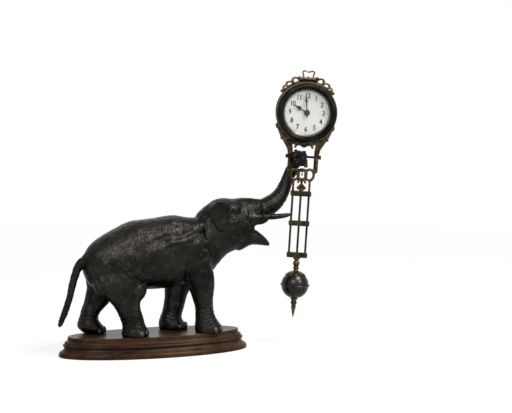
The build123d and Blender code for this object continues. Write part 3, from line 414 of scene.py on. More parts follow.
class Bench:
    """Hand tools: thin wrappers over bpy.ops that keep the selection and the mode in order."""

    @staticmethod
    def clear() -> None:
        """Leaves edit mode and deselects everything."""
        if bpy.context.object is not None and bpy.context.object.mode != "OBJECT":
            bpy.ops.object.mode_set(mode="OBJECT")
        bpy.ops.object.select_all(action="DESELECT")

    @staticmethod
    def pick(*pieces: Piece) -> None:
        """Selects only these pieces, the first one active."""
        Bench.clear()
        for piece in pieces:
            piece.select_set(True)
        bpy.context.view_layer.objects.active = pieces[0]

    @staticmethod
    def fresh(name: str) -> Piece:
        """Names the primitive that was just added and returns it."""
        piece = bpy.context.object
        piece.name = name
        piece.data.name = name
        return piece

    @staticmethod
    def placed(name: str) -> Piece:
        """Names the primitive that was just added, applies its place to its mesh and returns it."""
        piece = Bench.fresh(name)
        bpy.ops.object.transform_apply(location=True, rotation=True, scale=True)
        return piece

    @staticmethod
    @contextmanager
    def editing(piece: Piece, kind: str = "VERT", choose: str = "SELECT") -> Iterator[None]:
        """Edit mode on one piece.

        Args:
            piece: the piece to edit.
            kind: VERT, EDGE or FACE.
            choose: SELECT to start with everything selected, DESELECT with nothing.

        Returns:
            A context that leaves edit mode at its end.
        """
        Bench.pick(piece)
        bpy.ops.object.mode_set(mode="EDIT")
        bpy.ops.mesh.select_mode(type=kind)
        bpy.ops.mesh.select_all(action=choose)
        yield
        bpy.ops.object.mode_set(mode="OBJECT")

    @staticmethod
    def choose_faces(piece: Piece, test: Callable[[Vector, Vector], bool]) -> None:
        """Selects the faces whose centre and normal pass a test, from edit mode and back.

        Args:
            piece: the piece in edit mode.
            test: function of a face's centre and normal.
        """
        bpy.ops.object.mode_set(mode="OBJECT")
        for face in piece.data.polygons:
            face.select = bool(test(face.center, face.normal))
        bpy.ops.object.mode_set(mode="EDIT")

    @staticmethod
    def modify(piece: Piece, kind: str, **settings: Any) -> None:
        """Adds a modifier and applies it.

        Args:
            piece: the piece.
            kind: the modifier's type.
            settings: its properties.
        """
        Bench.pick(piece)
        modifier = piece.modifiers.new(kind.lower(), kind)
        for key, value in settings.items():
            setattr(modifier, key, value)
        bpy.ops.object.modifier_apply(modifier=modifier.name)

    @staticmethod
    def join(pieces: Sequence[Piece], name: str) -> Piece:
        """Joins pieces into the first and names it."""
        Bench.pick(*pieces)
        if len(pieces) > 1:
            bpy.ops.object.join()
        return Bench.fresh(name)

    @staticmethod
    def settle(piece: Piece, place: Matrix) -> None:
        """Sets a piece in place and applies the place to its mesh."""
        Bench.pick(piece)
        piece.matrix_world = place @ piece.matrix_world
        bpy.ops.object.transform_apply(location=True, rotation=True, scale=True)

    @staticmethod
    def ball(name: str, centre: Point, radii: Point, turn: Point = (0.0, 0.0, 0.0),
             segments: int = 24) -> Piece:
        """Ellipsoid with its place and turn applied.

        Args:
            name: the piece's name.
            centre: its centre.
            radii: its half sizes.
            turn: its turn about each axis, in degrees.
            segments: meridians; half as many rings.

        Returns:
            The new object.
        """
        Bench.clear()
        angles = tuple(math.radians(value) for value in turn)
        bpy.ops.mesh.primitive_uv_sphere_add(segments=segments, ring_count=segments // 2, radius=1.0,
                                             location=centre, rotation=angles, scale=radii)
        return Bench.placed(name)

    @staticmethod
    def rod(name: str, path: Sequence[Point], radii: Sequence[float], closed: bool = False,
            sides: int = 3) -> Piece:
        """Round bar of changing thickness along a smooth path, as a mesh.

        Args:
            name: the piece's name.
            path: points that the bar goes through.
            radii: its radius at each point.
            closed: whether its ends meet.
            sides: resolution of its section.

        Returns:
            The new object.
        """
        Bench.clear()
        bpy.ops.curve.primitive_bezier_curve_add()
        piece = Bench.fresh(name)
        curve = piece.data
        spline = curve.splines[0]
        spline.bezier_points.add(len(path) - len(spline.bezier_points))
        for knot, place, radius in zip(spline.bezier_points, path, radii):
            knot.co = place
            knot.radius = radius
            knot.handle_left_type = "AUTO"
            knot.handle_right_type = "AUTO"
        spline.use_cyclic_u = closed
        curve.dimensions = "3D"
        curve.bevel_depth = 1.0
        curve.bevel_resolution = sides
        curve.resolution_u = 8
        curve.use_fill_caps = True
        bpy.ops.object.convert(target="MESH")
        return Bench.fresh(name)

    @staticmethod
    def mirrored(piece: Piece) -> Piece:
        """Copy of a piece across the plane x = 0, with its faces turned right.

        Args:
            piece: the piece to copy.

        Returns:
            The copy.
        """
        Bench.pick(piece)
        bpy.ops.object.duplicate()
        twin = bpy.context.object
        twin.scale = (-1.0, 1.0, 1.0)
        bpy.ops.object.transform_apply(location=False, rotation=False, scale=True)
        with Bench.editing(twin, "FACE"):
            bpy.ops.mesh.normals_make_consistent(inside=False)
        return twin

    @staticmethod
    def stretch(piece: Piece, factors: Point, centre: Point) -> None:
        """Resizes a whole mesh about a centre.

        Args:
            piece: the piece.
            factors: factor along each axis.
            centre: the place that stays.
        """
        with Bench.editing(piece):
            bpy.ops.transform.resize(value=factors, center_override=centre)

    @staticmethod
    def smooth(piece: Piece, angle: float) -> None:
        """Shades a piece smooth, sharp above an angle in degrees."""
        Bench.pick(piece)
        bpy.ops.object.shade_smooth_by_angle(angle=math.radians(angle))

    @staticmethod
    def roughen(piece: Piece, name: str, grain: float, depth: float) -> None:
        """Works a surface with a cloudy relief.

        Args:
            piece: the piece.
            name: the relief's name.
            grain: its size in metres.
            depth: its height in metres.
        """
        cloud = bpy.data.textures.new(name, "CLOUDS")
        cloud.noise_scale = grain
        cloud.noise_depth = 3
        Bench.modify(piece, "DISPLACE", texture=cloud, strength=depth, mid_level=0.5, texture_coords="LOCAL")

    @staticmethod
    def coat(piece: Piece, material: Material) -> None:
        """Gives a piece one material."""
        piece.data.materials.clear()
        piece.data.materials.append(material)


@dataclass
class SwingFrame:
    """The swinger's own frame, taken from the hinge at the knife edge."""

    pivot: Vector
    axis: Vector
    tilt: float = 3.6
    head_rise: float = 45.0

    @classmethod
    def from_joints(cls, joints: Sequence[Dict[str, Any]]) -> "SwingFrame":
        """Reads the hinge named swing.

        Args:
            joints: the frame's joints.

        Returns:
            The swinger's frame.
        """
        swing = next(joint for joint in joints if joint["name"] == "swing")
        return cls(Vector(swing["pos_m"]), Vector(swing["axis"]))

    def place(self, rise: float = 0.0) -> Matrix:
        """Matrix from swinger millimetres to the row frame.

        Args:
            rise: height of the piece's own origin above the knife edge.

        Returns:
            The matrix.
        """
        turn = math.atan2(-self.axis.x, self.axis.y)
        upright = Matrix.Rotation(turn, 4, "Z") @ Matrix.Rotation(math.radians(self.tilt), 4, "Y")
        base = Matrix.Translation(self.pivot) @ upright @ Matrix.Scale(MM, 4)
        return base @ Matrix.Translation((0, 0, rise))


def hand_over(piece: Piece, material: Material, body: Body, slot: Slot, *nodes: str) -> None:
    """Coats a finished piece and gives it to the frame.

    Args:
        piece: the finished piece.
        material: its finish.
        body: the body it rides on.
        slot: not used.
        nodes: the CAD nodes that it stands for.
    """
    Bench.coat(piece, material)
    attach(piece, body.value)
    if nodes:
        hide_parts(*nodes)
    LOG.info("%s: %d faces", piece.name, len(piece.data.polygons))


METALS = {
    "bronze": ("antique_bronze", (0.016, 0.011, 0.006, 1.0), (0.115, 0.078, 0.036, 1.0), 0.4),
    "rod_bronze": ("rod_bronze", (0.012, 0.009, 0.0055, 1.0), (0.06, 0.046, 0.027, 1.0), 0.38),
    "dark_bronze": ("dark_bronze", (0.003, 0.0025, 0.0017, 1.0), (0.02, 0.0165, 0.011, 1.0), 0.4, 90.0),
    "black_bronze": ("black_bronze", (0.011, 0.011, 0.0096, 1.0), (0.034, 0.0325, 0.028, 1.0), 0.3, 60.0),
    "gilt": ("worn_gilt", (0.03, 0.022, 0.012, 1.0), (0.2, 0.14, 0.065, 1.0), 0.38, 190.0),
    "silver": ("silvered_ring", (0.09, 0.088, 0.084, 1.0), (0.2, 0.195, 0.19, 1.0), 0.45, 60.0),
    "steel": ("blackened_steel", (0.006, 0.006, 0.007, 1.0), (0.03, 0.031, 0.034, 1.0), 0.3, 200.0),
    "brass": ("plain_brass", (0.38, 0.25, 0.09, 1.0), (0.72, 0.52, 0.22, 1.0), 0.26, 90.0),
}


@dataclass
class Finishes:
    """All the materials, made once."""

    patina: Material
    nail: Material
    wood: Material
    bronze: Material
    rod_bronze: Material
    dark_bronze: Material
    black_bronze: Material
    gilt: Material
    silver: Material
    steel: Material
    brass: Material
    enamel: Material
    ink: Material
    glass: Material

    @classmethod
    def make(cls) -> "Finishes":
        """Builds every material."""
        return cls(
            patina=Patina().make(),
            nail=Patina("rubbed_nails", (0.035, 0.033, 0.029, 1.0), (0.075, 0.07, 0.06, 1.0)).make(),
            wood=PolishedWood().make(),
            **{key: CastMetal(*row).make() for key, row in METALS.items()},
            enamel=Enamel().make(),
            ink=Ink().make(),
            glass=ClearGlass().make(),
        )


@dataclass
class Crease:
    """A fold pressed into the flanks along a path of x and z, or raised where its depth is below 0."""

    path: Sequence[Pair]
    width: float
    depth: float


@dataclass
class Swell:
    """A rounded push of the skin about a centre."""

    centre: Point
    radii: Point
    amount: float


@dataclass
class Elephant:
    """The elephant's skin: the castings grown together and worked."""

    voxel: float = 1.0
    melt_rounds: int = 9
    foot_level: float = 18.5
    castings: Sequence[str] = (
        "elephant_body", "near_fore_leg", "far_fore_leg", "near_hind_leg", "far_hind_leg", "trunk", "tail",
    )
    feet: Sequence[Point] = (
        (49.3, -14.0, 12.6), (23.0, 14.0, 13.2), (-22.0, -14.0, 12.2), (-54.5, 14.0, 11.4),
    )
    relief: Sequence[Tuple[str, float, float]] = (
        ("skin_lumps", 0.009, 0.0009), ("skin_grain", 0.0034, 0.0005),
    )
    nails: int = 5
    nail_fan: float = 144.0
    nail_radii: Point = (1.3, 2.4, 2.9)
    nail_rise: float = 3.2
    nail_lean: float = -14.0
    ear_hinge: Point = (66.5, 18.5, 118.0)
    ear_line: float = 20.5
    ear_foot: float = 100.0
    ear_back: float = 38.0
    ear_run: Pair = (40.0, 68.0)
    trunk_tip: float = 136.0
    tail_root: float = -71.0
    foot_height: float = 7.0
    jaw: Pair = (99.0, 112.0)
    trunk_rings: float = 34.0
    ring_depth: float = 0.55
    wrinkle_gap: float = 3.4
    wrinkle_depth: float = 0.5
    ears: Sequence[Tuple[int, float, float, float]] = ((-1, 27.0, 0.0, 0.0), (1, 14.0, 30.0, 10.0))
    creases: Sequence[Crease] = (
        Crease(((-18, 101), (-8, 106), (6, 110.5), (20, 111), (34, 115.5), (42, 118.5)), 4.2, 1.5),
        Crease(((-15, 94), (-4, 100), (10, 105), (24, 106), (36, 110.5), (42, 113.5)), 4.6, -1.7),
        Crease(((-40, 90), (-29, 80), (-21, 71), (-13, 63)), 2.2, 1.6),
        Crease(((-37, 85.5), (-27, 76), (-17, 65.5)), 2.2, -1.3),
        Crease(((-64, 84), (-57, 68), (-48, 52)), 2.6, 1.5),
        Crease(((-60, 84), (-53, 67), (-45, 53)), 2.6, -1.0),
        Crease(((30, 97), (27, 86), (26, 76), (30, 65), (34, 56)), 3.0, 1.6),
        Crease(((45, 124), (46, 112), (50, 98), (55, 86)), 3.6, 2.0),
        Crease(((39, 103), (43, 97), (46, 90)), 1.8, 1.0),
        Crease(((36, 99), (41, 92), (45, 84)), 1.8, 0.9),
        Crease(((33, 92), (39, 86), (43, 78)), 1.8, 0.8),
        Crease(((77, 121), (84, 112), (90, 102), (95, 98)), 1.8, 1.3),
        Crease(((73, 116), (79, 107), (84, 98)), 1.6, 0.8),
        Crease(((69, 112), (74, 103), (78, 96)), 1.6, 0.6),
        Crease(((66, 120), (70, 117), (75, 119)), 1.4, 0.7),
        Crease(((89, 141), (90, 134), (90, 127), (92, 121)), 2.0, 0.8),
        Crease(((80, 130), (86, 125), (93, 121), (100, 119)), 1.6, 0.6),
        Crease(((-9, 95), (-13, 84), (-12, 72)), 2.2, 0.7),
        Crease(((0, 99), (-3, 86), (-1, 72)), 2.2, 0.7),
        Crease(((10, 102), (8, 88), (10, 74)), 2.2, 0.7),
        Crease(((19, 104), (18, 92), (19, 78)), 2.2, 0.6),
        Crease(((-44, 98), (-34, 104), (-22, 107)), 2.8, 0.9),
        Crease(((-52, 93), (-46, 84), (-43, 74)), 2.4, 0.7),
        Crease(((-28, 66), (-24, 58), (-23, 50)), 2.0, 0.6),
    )
    swells: Sequence[Swell] = (
        Swell((-27, 0, 95), (6, 40, 5), 2.4),
        Swell((-52, 0, 87), (6, 40, 6), 2.6),
        Swell((40, 0, 86), (12, 40, 15), 1.6),
        Swell((37, 0, 101), (6, 40, 7), 1.4),
        Swell((76, 0, 135), (9, 30, 5), 1.4),
        Swell((88, 0, 115), (9, 30, 7), 1.0),
        Swell((-12, 0, 92), (5, 40, 5), 1.8),
        Swell((2, 0, 70), (22, 60, 9), 1.0),
        Swell((-34, 0, 74), (10, 40, 14), 1.4),
    )
    eye: Pair = (71.5, 127.0)
    trunk_line: Sequence[Pair] = ((96, 129), (113.5, 132.7), (122.5, 138.3), (130.4, 147.7), (135.2, 160.0),
                                  (139.4, 169.5), (149.4, 178.7))
    tail_line: Sequence[Point] = (
        (-67, 89, 4.8), (-71.6, 83.5, 4.4), (-74.8, 76, 3.9), (-77.4, 68, 3.5), (-80.6, 54.7, 3.3),
        (-84.9, 41.9, 3.1), (-88.6, 33.4, 2.9), (-90.0, 30.0, 2.2),
    )

    def build(self, nodes: Nodes, finishes: Finishes) -> None:
        """Makes the skin and gives it to the frame.

        Args:
            nodes: the CAD nodes.
            finishes: the materials.
        """
        parts = [self._copied(nodes[name]) for name in self.castings]
        parts += self._ear_rims() + self._trunk_fingers() + self._tail_flesh() + self._flesh()
        skin = Bench.join(parts, "elephant_skin")
        Bench.modify(skin, "REMESH", mode="VOXEL", voxel_size=self.voxel * MM, use_smooth_shade=True)
        self._melt(skin)
        self._sculpt(skin)
        for row in self.relief:
            Bench.roughen(skin, *row)
        Bench.smooth(skin, 80.0)
        hand_over(skin, finishes.patina, Body.STAND, Slot.CASTING, *self.castings)
        nails = Bench.join(self._toenails(), "toenails")
        Bench.smooth(nails, 60.0)
        hand_over(nails, finishes.nail, Body.STAND, Slot.CASTING)

    @staticmethod
    def _copied(node: Piece) -> Piece:
        """Copy of a casting with its loose triangles merged."""
        Bench.pick(node)
        bpy.ops.object.duplicate()
        piece = bpy.context.object
        bpy.ops.object.parent_clear(type="CLEAR_KEEP_TRANSFORM")
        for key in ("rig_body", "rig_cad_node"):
            if key in piece:
                del piece[key]
        with Bench.editing(piece):
            bpy.ops.mesh.remove_doubles(threshold=0.01 * MM)
        return piece

    @staticmethod
    def _metres(pieces: List[Piece]) -> List[Piece]:
        """Scales new pieces from millimetres to metres."""
        for piece in pieces:
            Bench.settle(piece, Matrix.Scale(MM, 4))
        return pieces

    def _toenails(self) -> List[Piece]:
        """Rounded nails round the front of each foot."""
        made = []
        for x, y, half in self.feet:
            for index in range(self.nails):
                angle = math.radians(self.nail_fan * (index / (self.nails - 1) - 0.5))
                reach = half - 0.2
                along, across = reach * math.cos(angle), (reach - 0.7) * math.sin(angle)
                centre = (x + along, y + across, self.foot_level + self.nail_rise)
                lean = (0, self.nail_lean, math.degrees(angle))
                made.append(Bench.ball("nail", centre, self.nail_radii, lean, 16))
        return self._metres(made)

    def _ear_rims(self) -> List[Piece]:
        """Rolled rims and roots of both ears, drawn in the plane of each ear."""
        rim = ((-1.5, 1.2), (-6, 3.0), (-14, 3.8), (-21.2, 1.9), (-25, -3.4), (-19.8, -9.8), (-14.6, -16.2),
               (-9.2, -20.6), (-5.2, -22.4))
        thick = (1.3, 1.5, 1.7, 1.8, 1.6, 1.4, 1.3, 1.5, 1.2)
        root_x, root_y, root_z = self.ear_hinge
        made = []
        for side, angle, turn, drop in self.ears:
            run = Vector((math.cos(math.radians(angle)), -side * math.sin(math.radians(angle)), 0.0))
            outward = Vector((run.y, -run.x, 0.0)) * -side
            axes = Matrix((run, outward, (0, 0, 1))).transposed().to_4x4()
            spin = Matrix.Rotation(math.radians(turn), 4, Vector((0, -1, 0)))
            root = (root_x, side * root_y, self.foot_level + root_z - drop)
            place = Matrix.Translation(root) @ axes @ spin
            pieces = [
                Bench.rod("ear_rim", [(u, 0.5, v) for u, v in rim], thick),
                Bench.ball("ear_root", (-0.5, -1.2, -8.5), (5.5, 3.0, 12.0), (0, 6, 0), 20),
                Bench.ball("ear_belly", (-12, -0.4, -7.0), (9.0, 2.2, 8.0), (0, -30, 0), 20),
            ]
            for piece in pieces:
                Bench.settle(piece, place)
            made += pieces
        return self._metres(made)

    def _flesh(self) -> List[Piece]:
        """Folds before the thighs, buttocks, shoulders, brows, forehead, lips and cheeks."""
        rows = (
            ("stifle", (-20.5, -13.5, 59.5), (9.0, 8.5, 11.5), (0, 38, 0)),
            ("far_stifle", (-33, 13.5, 59.5), (9.0, 8.5, 11.5), (0, 38, 0)),
            ("buttock", (-49, -12, 72), (11.5, 9.0, 17), (0, 14, 0)),
            ("far_buttock", (-50, 12, 72), (11.5, 9.0, 17), (0, 14, 0)),
            ("shoulder", (40, -17, 88), (11, 7.5, 17), (0, 8, 0)),
            ("far_shoulder", (35, 17, 88), (11, 7.5, 17), (0, 8, 0)),
            ("brow", (74, -14.5, 132.5), (6, 4.6, 3.6), (0, 12, 0)),
            ("far_brow", (74, 14.5, 132.5), (6, 4.6, 3.6), (0, 12, 0)),
            ("forehead", (88, 0, 131.2), (27, 11, 10.4), (0, 0, 0)),
            ("lip", (101, -10.5, 121.4), (9.5, 5.2, 4.8), (0, -6, 0)),
            ("far_lip", (101, 10.5, 118.6), (9.5, 5.2, 4.8), (0, -6, 0)),
            ("cheek", (88, -11.5, 114), (8, 4.6, 7), (0, 20, 0)),
            ("far_cheek", (88, 11.5, 114), (8, 4.6, 7), (0, 20, 0)),
        )
        return self._metres([Bench.ball(*row) for row in rows])

    def _trunk_fingers(self) -> List[Piece]:
        """Lip, finger and swells near the trunk's tip."""
        made = [
            Bench.ball("trunk_lip", (146.5, 4.6, 179.8), (4.6, 4.4, 3.4), (0, -38, 0)),
            Bench.ball("trunk_finger", (143.6, 5.2, 182.4), (2.2, 2.0, 3.6), (0, -30, 0)),
            Bench.ball("trunk_knuckle", (150.6, 4.8, 181.6), (2.0, 1.8, 2.6), (0, 25, 0)),
            Bench.ball("trunk_curl", (140.2, 1.6, 179.4), (4.2, 3.6, 4.4)),
            Bench.ball("trunk_swell", (139.4, 2.2, 174.2), (4.6, 3.8, 4.6)),
            Bench.ball("trunk_bulge", (139.2, 4.6, 163.6), (4.8, 3.8, 7.2), (0, 22, 0)),
        ]
        return self._metres(made)

    def _tail_flesh(self) -> List[Piece]:
        """Fuller flesh along the tail."""
        path = [(x, 0.0, z) for x, z, _ in self.tail_line]
        made = [Bench.rod("tail_flesh", path, [radius for _, _, radius in self.tail_line])]
        return self._metres(made)

    def _melt(self, skin: Piece) -> None:
        """Softens the joins of the castings, sparing ears, trunk tip, feet, jaw and tail."""
        co = self._per_vertex(skin, "co") / MM
        x, y, z = co.T
        spare = (np.abs(y) > self.ear_line) & (x > self.ear_back) & (z > self.ear_foot)
        spare |= (x > self.trunk_tip) | (x < self.tail_root) | (z < self.foot_level + self.foot_height)
        spare |= (x > self.jaw[0]) & (z < self.jaw[1])
        group = skin.vertex_groups.new(name="melt")
        group.add([int(index) for index in np.flatnonzero(~spare)], 1.0, "REPLACE")
        Bench.modify(skin, "SMOOTH", factor=0.6, iterations=self.melt_rounds, vertex_group="melt")
        Bench.modify(skin, "SMOOTH", factor=0.5, iterations=2)

    @staticmethod
    def _per_vertex(skin: Piece, key: str) -> np.ndarray:
        """Places or normals of the vertices, in metres.

        Args:
            skin: the skin.
            key: co or normal.

        Returns:
            One row for each vertex.
        """
        flat = np.empty(len(skin.data.vertices) * 3)
        skin.data.vertices.foreach_get(key, flat)
        return flat.reshape(-1, 3)

    @staticmethod
    def _off_path(points: np.ndarray, path: Sequence[Pair]) -> Tuple[np.ndarray, np.ndarray]:
        """Distance of points from a run of lines, and how far along it they lie.

        Args:
            points: pairs of coordinates.
            path: the run's corners.

        Returns:
            Distances, and shares of the run from 0 to 1.
        """
        corners = np.asarray(path, float)
        lengths = np.linalg.norm(np.diff(corners, axis=0), axis=1)
        total = lengths.sum()
        best = np.full(len(points), 1e9)
        along = np.zeros(len(points))
        start = 0.0
        for first, last, length in zip(corners[:-1], corners[1:], lengths):
            run = (last - first) / length
            share = np.clip((points - first) @ run, 0.0, length)
            away = np.linalg.norm(points - first - share[:, None] * run, axis=1)
            nearer = away < best
            best[nearer] = away[nearer]
            along[nearer] = (start + share[nearer]) / total
            start += length
        return best, along

    def _sculpt(self, skin: Piece) -> None:
        """Presses the folds, raises the bones and rings the trunk."""
        co = self._per_vertex(skin, "co") / MM
        normal = self._per_vertex(skin, "normal")
        flank = np.clip((np.abs(normal[:, 1]) - 0.15) / 0.35, 0.0, 1.0)
        inner = np.abs(co[:, 1]) < 5
        push = np.zeros(len(co))
        for swell in self.swells:
            offset = (co - np.asarray(swell.centre, float)) / np.asarray(swell.radii, float)
            push += swell.amount * np.exp(-2.0 * (offset ** 2).sum(1)) * flank
        x, y, z = co.T
        back, front = self.ear_run
        ears = (np.abs(y) > self.ear_line) & (x > back) & (x < front) & (z > self.ear_foot)
        wander = 0.8 * np.sin(0.55 * x + 0.3 * z) + 0.6 * np.sin(0.23 * x - 0.71 * z + 1.3)
        for crease in self.creases:
            away, along = self._off_path(co[:, [0, 2]], crease.path)
            away = np.abs(away + 0.3 * wander * crease.width / 2)
            taper = np.sin(np.pi * np.clip(0.1 + 0.8 * along, 0, 1))
            taper *= 0.8 + 0.2 * np.sin(19 * along + crease.depth)
            cross = np.exp(-(away / (0.55 * crease.width)) ** 2)
            push -= crease.depth * taper * cross * flank * ~(ears | inner)
        push += self._eye_push(co, flank)
        push += self._trunk_push(co)
        push += self._leg_push(co, normal)
        skin.data.vertices.foreach_set("co", ((co + normal * push[:, None]) * MM).ravel())
        skin.data.update()

    def _eye_push(self, co: np.ndarray, flank: np.ndarray) -> np.ndarray:
        """Socket, lids and ball of both eyes.

        Args:
            co: vertex places.
            flank: how far each vertex faces sideways.

        Returns:
            Push along the normals, in millimetres.
        """
        away = np.hypot(co[:, 0] - self.eye[0], (co[:, 2] - self.eye[1]) * 1.35)
        socket = -1.0 * np.exp(-(away / 5.2) ** 2)
        ball = 1.7 * np.exp(-(away / 1.9) ** 2)
        lids = 0.7 * np.exp(-((away - 3.3) / 0.9) ** 2)
        return (socket + ball + lids) * flank * (np.abs(co[:, 1]) > 6)

    def _trunk_push(self, co: np.ndarray) -> np.ndarray:
        """Rings of wrinkles along the trunk.

        Args:
            co: vertex places.

        Returns:
            Push along the normals, in millimetres.
        """
        away, along = self._off_path(co[:, [0, 2]], self.trunk_line)
        near = (away < 12) & (co[:, 2] > 118) & (co[:, 0] > 98)
        sway = 0.5 * np.sin(9 * along) + 0.04 * co[:, 1]
        ring = 0.5 + 0.5 * np.cos(2 * np.pi * (self.trunk_rings * along + sway))
        fade = np.clip((along - 0.05) / 0.15, 0, 1) * np.clip((0.97 - along) / 0.05, 0, 1)
        return -self.ring_depth * ring ** 3 * fade * near

    def _leg_push(self, co: np.ndarray, normal: np.ndarray) -> np.ndarray:
        """Level wrinkles at the wrists and hocks.

        Args:
            co: vertex places.
            normal: vertex normals.

        Returns:
            Push along the normals, in millimetres.
        """
        level = co[:, 2] - self.foot_level
        sway = 0.3 * np.sin(co[:, 0] * 0.35) + 0.2 * np.sin(co[:, 1] * 0.5)
        wave = 0.5 + 0.5 * np.cos(2 * np.pi * (level / self.wrinkle_gap + sway))
        band = np.exp(-((level - 17) / 9.0) ** 2)
        upright = np.clip(1 - np.abs(normal[:, 2]), 0, 1)
        return -self.wrinkle_depth * wave ** 2 * band * upright * (level < 34)


@dataclass
class TrunkKnot:
    """Finger of the trunk curled in front of the knife edge's seat, and a stud under it."""

    swing: SwingFrame
    front: float = -5.9
    lumps: Sequence[Point] = (
        (-7.4, 4.0, 2.9), (-8.0, -0.2, 2.2), (-6.4, -3.6, 2.6), (-5.4, -5.6, 2.0), (-3.4, 5.4, 3.0),
        (0.6, 5.4, 2.5), (1.8, 3.2, 2.2), (-0.8, 1.0, 3.4), (-3.6, -1.4, 3.4), (-1.0, -3.0, 2.2),
        (-3.8, 8.4, 0.9), (-3.5, 7.6, 1.2), (1.7, 7.8, 0.9), (1.4, 7.0, 1.1),
    )
    thickness: float = 1.3
    grain: float = 0.3
    stud: Point = (2.2, -6.6, -5.2)
    stud_radius: float = 2.1

    def build(self, finishes: Finishes) -> None:
        """Models the knot and the stud under it and gives them to the frame.

        Args:
            finishes: the materials.
        """
        upright = self.swing.place() @ Matrix.Rotation(math.radians(-self.swing.tilt), 4, "Y")
        thick = self.thickness
        parts = [Bench.ball("lump", (x, self.front, z), (size, thick, size)) for x, z, size in self.lumps]
        reach = ((-6.6, self.front, -3.4), (-7.4, -2.0, -3.2), (-7.0, 5.5, -3.0))
        parts.append(Bench.rod("finger", reach, (1.6, 1.9, 2.2)))
        knot = Bench.join(parts, "trunk_knot")
        Bench.modify(knot, "REMESH", mode="VOXEL", voxel_size=self.grain, use_smooth_shade=True)
        Bench.settle(knot, upright)
        Bench.roughen(knot, "knot_grain", 0.0022, 0.0006)
        Bench.smooth(knot, 70.0)
        hand_over(knot, finishes.patina, Body.STAND, Slot.CASTING)
        stud = Bench.ball("bracket_stud", self.stud, (self.stud_radius, thick, self.stud_radius))
        with Bench.editing(stud, "FACE", "DESELECT"):
            Bench.choose_faces(stud, lambda centre, normal: normal.y < -0.8)
            bpy.ops.mesh.inset(thickness=0.25)
            bpy.ops.transform.translate(value=(0, 0.4, 0))
        Bench.settle(stud, upright)
        Bench.smooth(stud, 40.0)
        hand_over(stud, finishes.bronze, Body.STAND, Slot.STEEL)


@dataclass
class Plinth:
    """Oval wood plinth with its run of mouldings."""

    half_length: float = 91.0
    half_depth: float = 36.25
    height: float = 18.5
    segments: int = 160
    rim_inset: float = 8.8
    neck_inset: float = 5.4
    bead_inset: float = 4.0
    ogee_foot: float = 2.5
    ogee_height: float = 6.0
    bead_middle: float = 10.5
    bead_half: float = 1.25
    cove_foot: float = 11.9
    cove_height: float = 2.9

    def profile(self) -> List[Pair]:
        """Heights and insets of the mouldings from the foot up.

        Returns:
            Pairs of height and inset.
        """
        rows = [(0.0, 1.2), (0.0, 0.5), (0.3, 0.12), (0.8, 0.0), (2.0, 0.0), (self.ogee_foot, 0.15)]
        neck = self.neck_inset
        for step in range(1, 12):
            share = step / 12
            flare = share - 0.8 * math.sin(2 * math.pi * share) / (2 * math.pi)
            rows.append((self.ogee_foot + self.ogee_height * share, 0.15 + (neck - 0.3) * flare))
        rows += [(8.55, neck), (9.1, neck), (9.15, self.bead_inset + 0.7)]
        for step in range(9):
            angle = math.radians(-80 + 160 * step / 8)
            level = self.bead_middle + self.bead_half * math.sin(angle)
            rows.append((level, self.bead_inset + 1.0 - math.cos(angle)))
        rows += [(11.85, neck - 0.5), (self.cove_foot, neck + 0.1)]
        rim = self.rim_inset - 0.4
        for step in range(1, 8):
            angle = math.radians(90 * step / 8)
            level = self.cove_foot + self.cove_height * math.sin(angle)
            rows.append((level, neck + 0.1 + (rim - neck - 0.6) * (1 - math.cos(angle))))
        rows += [(14.9, rim - 0.45), (15.0, rim - 0.05), (15.3, rim), (17.6, rim), (18.2, rim + 0.1),
                 (self.height, self.rim_inset)]
        return rows

    def build(self, finishes: Finishes) -> None:
        """Draws the plinth up from its foot and gives it to the frame.

        Args:
            finishes: the materials.
        """
        rows = self.profile()
        Bench.clear()
        bpy.ops.mesh.primitive_circle_add(vertices=self.segments, radius=1.0, fill_type="NGON")
        piece = Bench.fresh("moulded_plinth")
        level, inset = rows[0]
        with Bench.editing(piece):
            bpy.ops.transform.resize(value=(self.half_length - inset, self.half_depth - inset, 1.0))
            for next_level, next_inset in rows[1:]:
                bpy.ops.mesh.extrude_region_move(TRANSFORM_OT_translate={"value": (0, 0, next_level - level)})
                factors = ((self.half_length - next_inset) / (self.half_length - inset),
                           (self.half_depth - next_inset) / (self.half_depth - inset), 1.0)
                bpy.ops.transform.resize(value=factors, center_override=(0, 0, next_level))
                level, inset = next_level, next_inset
            bpy.ops.mesh.inset(thickness=3.0)
            bpy.ops.mesh.select_all(action="SELECT")
            bpy.ops.mesh.remove_doubles(threshold=0.001)
            bpy.ops.mesh.normals_make_consistent(inside=False)
        Bench.settle(piece, Matrix.Scale(MM, 4))
        Bench.smooth(piece, 38.0)
        hand_over(piece, finishes.wood, Body.STAND, Slot.WOOD, "plinth")


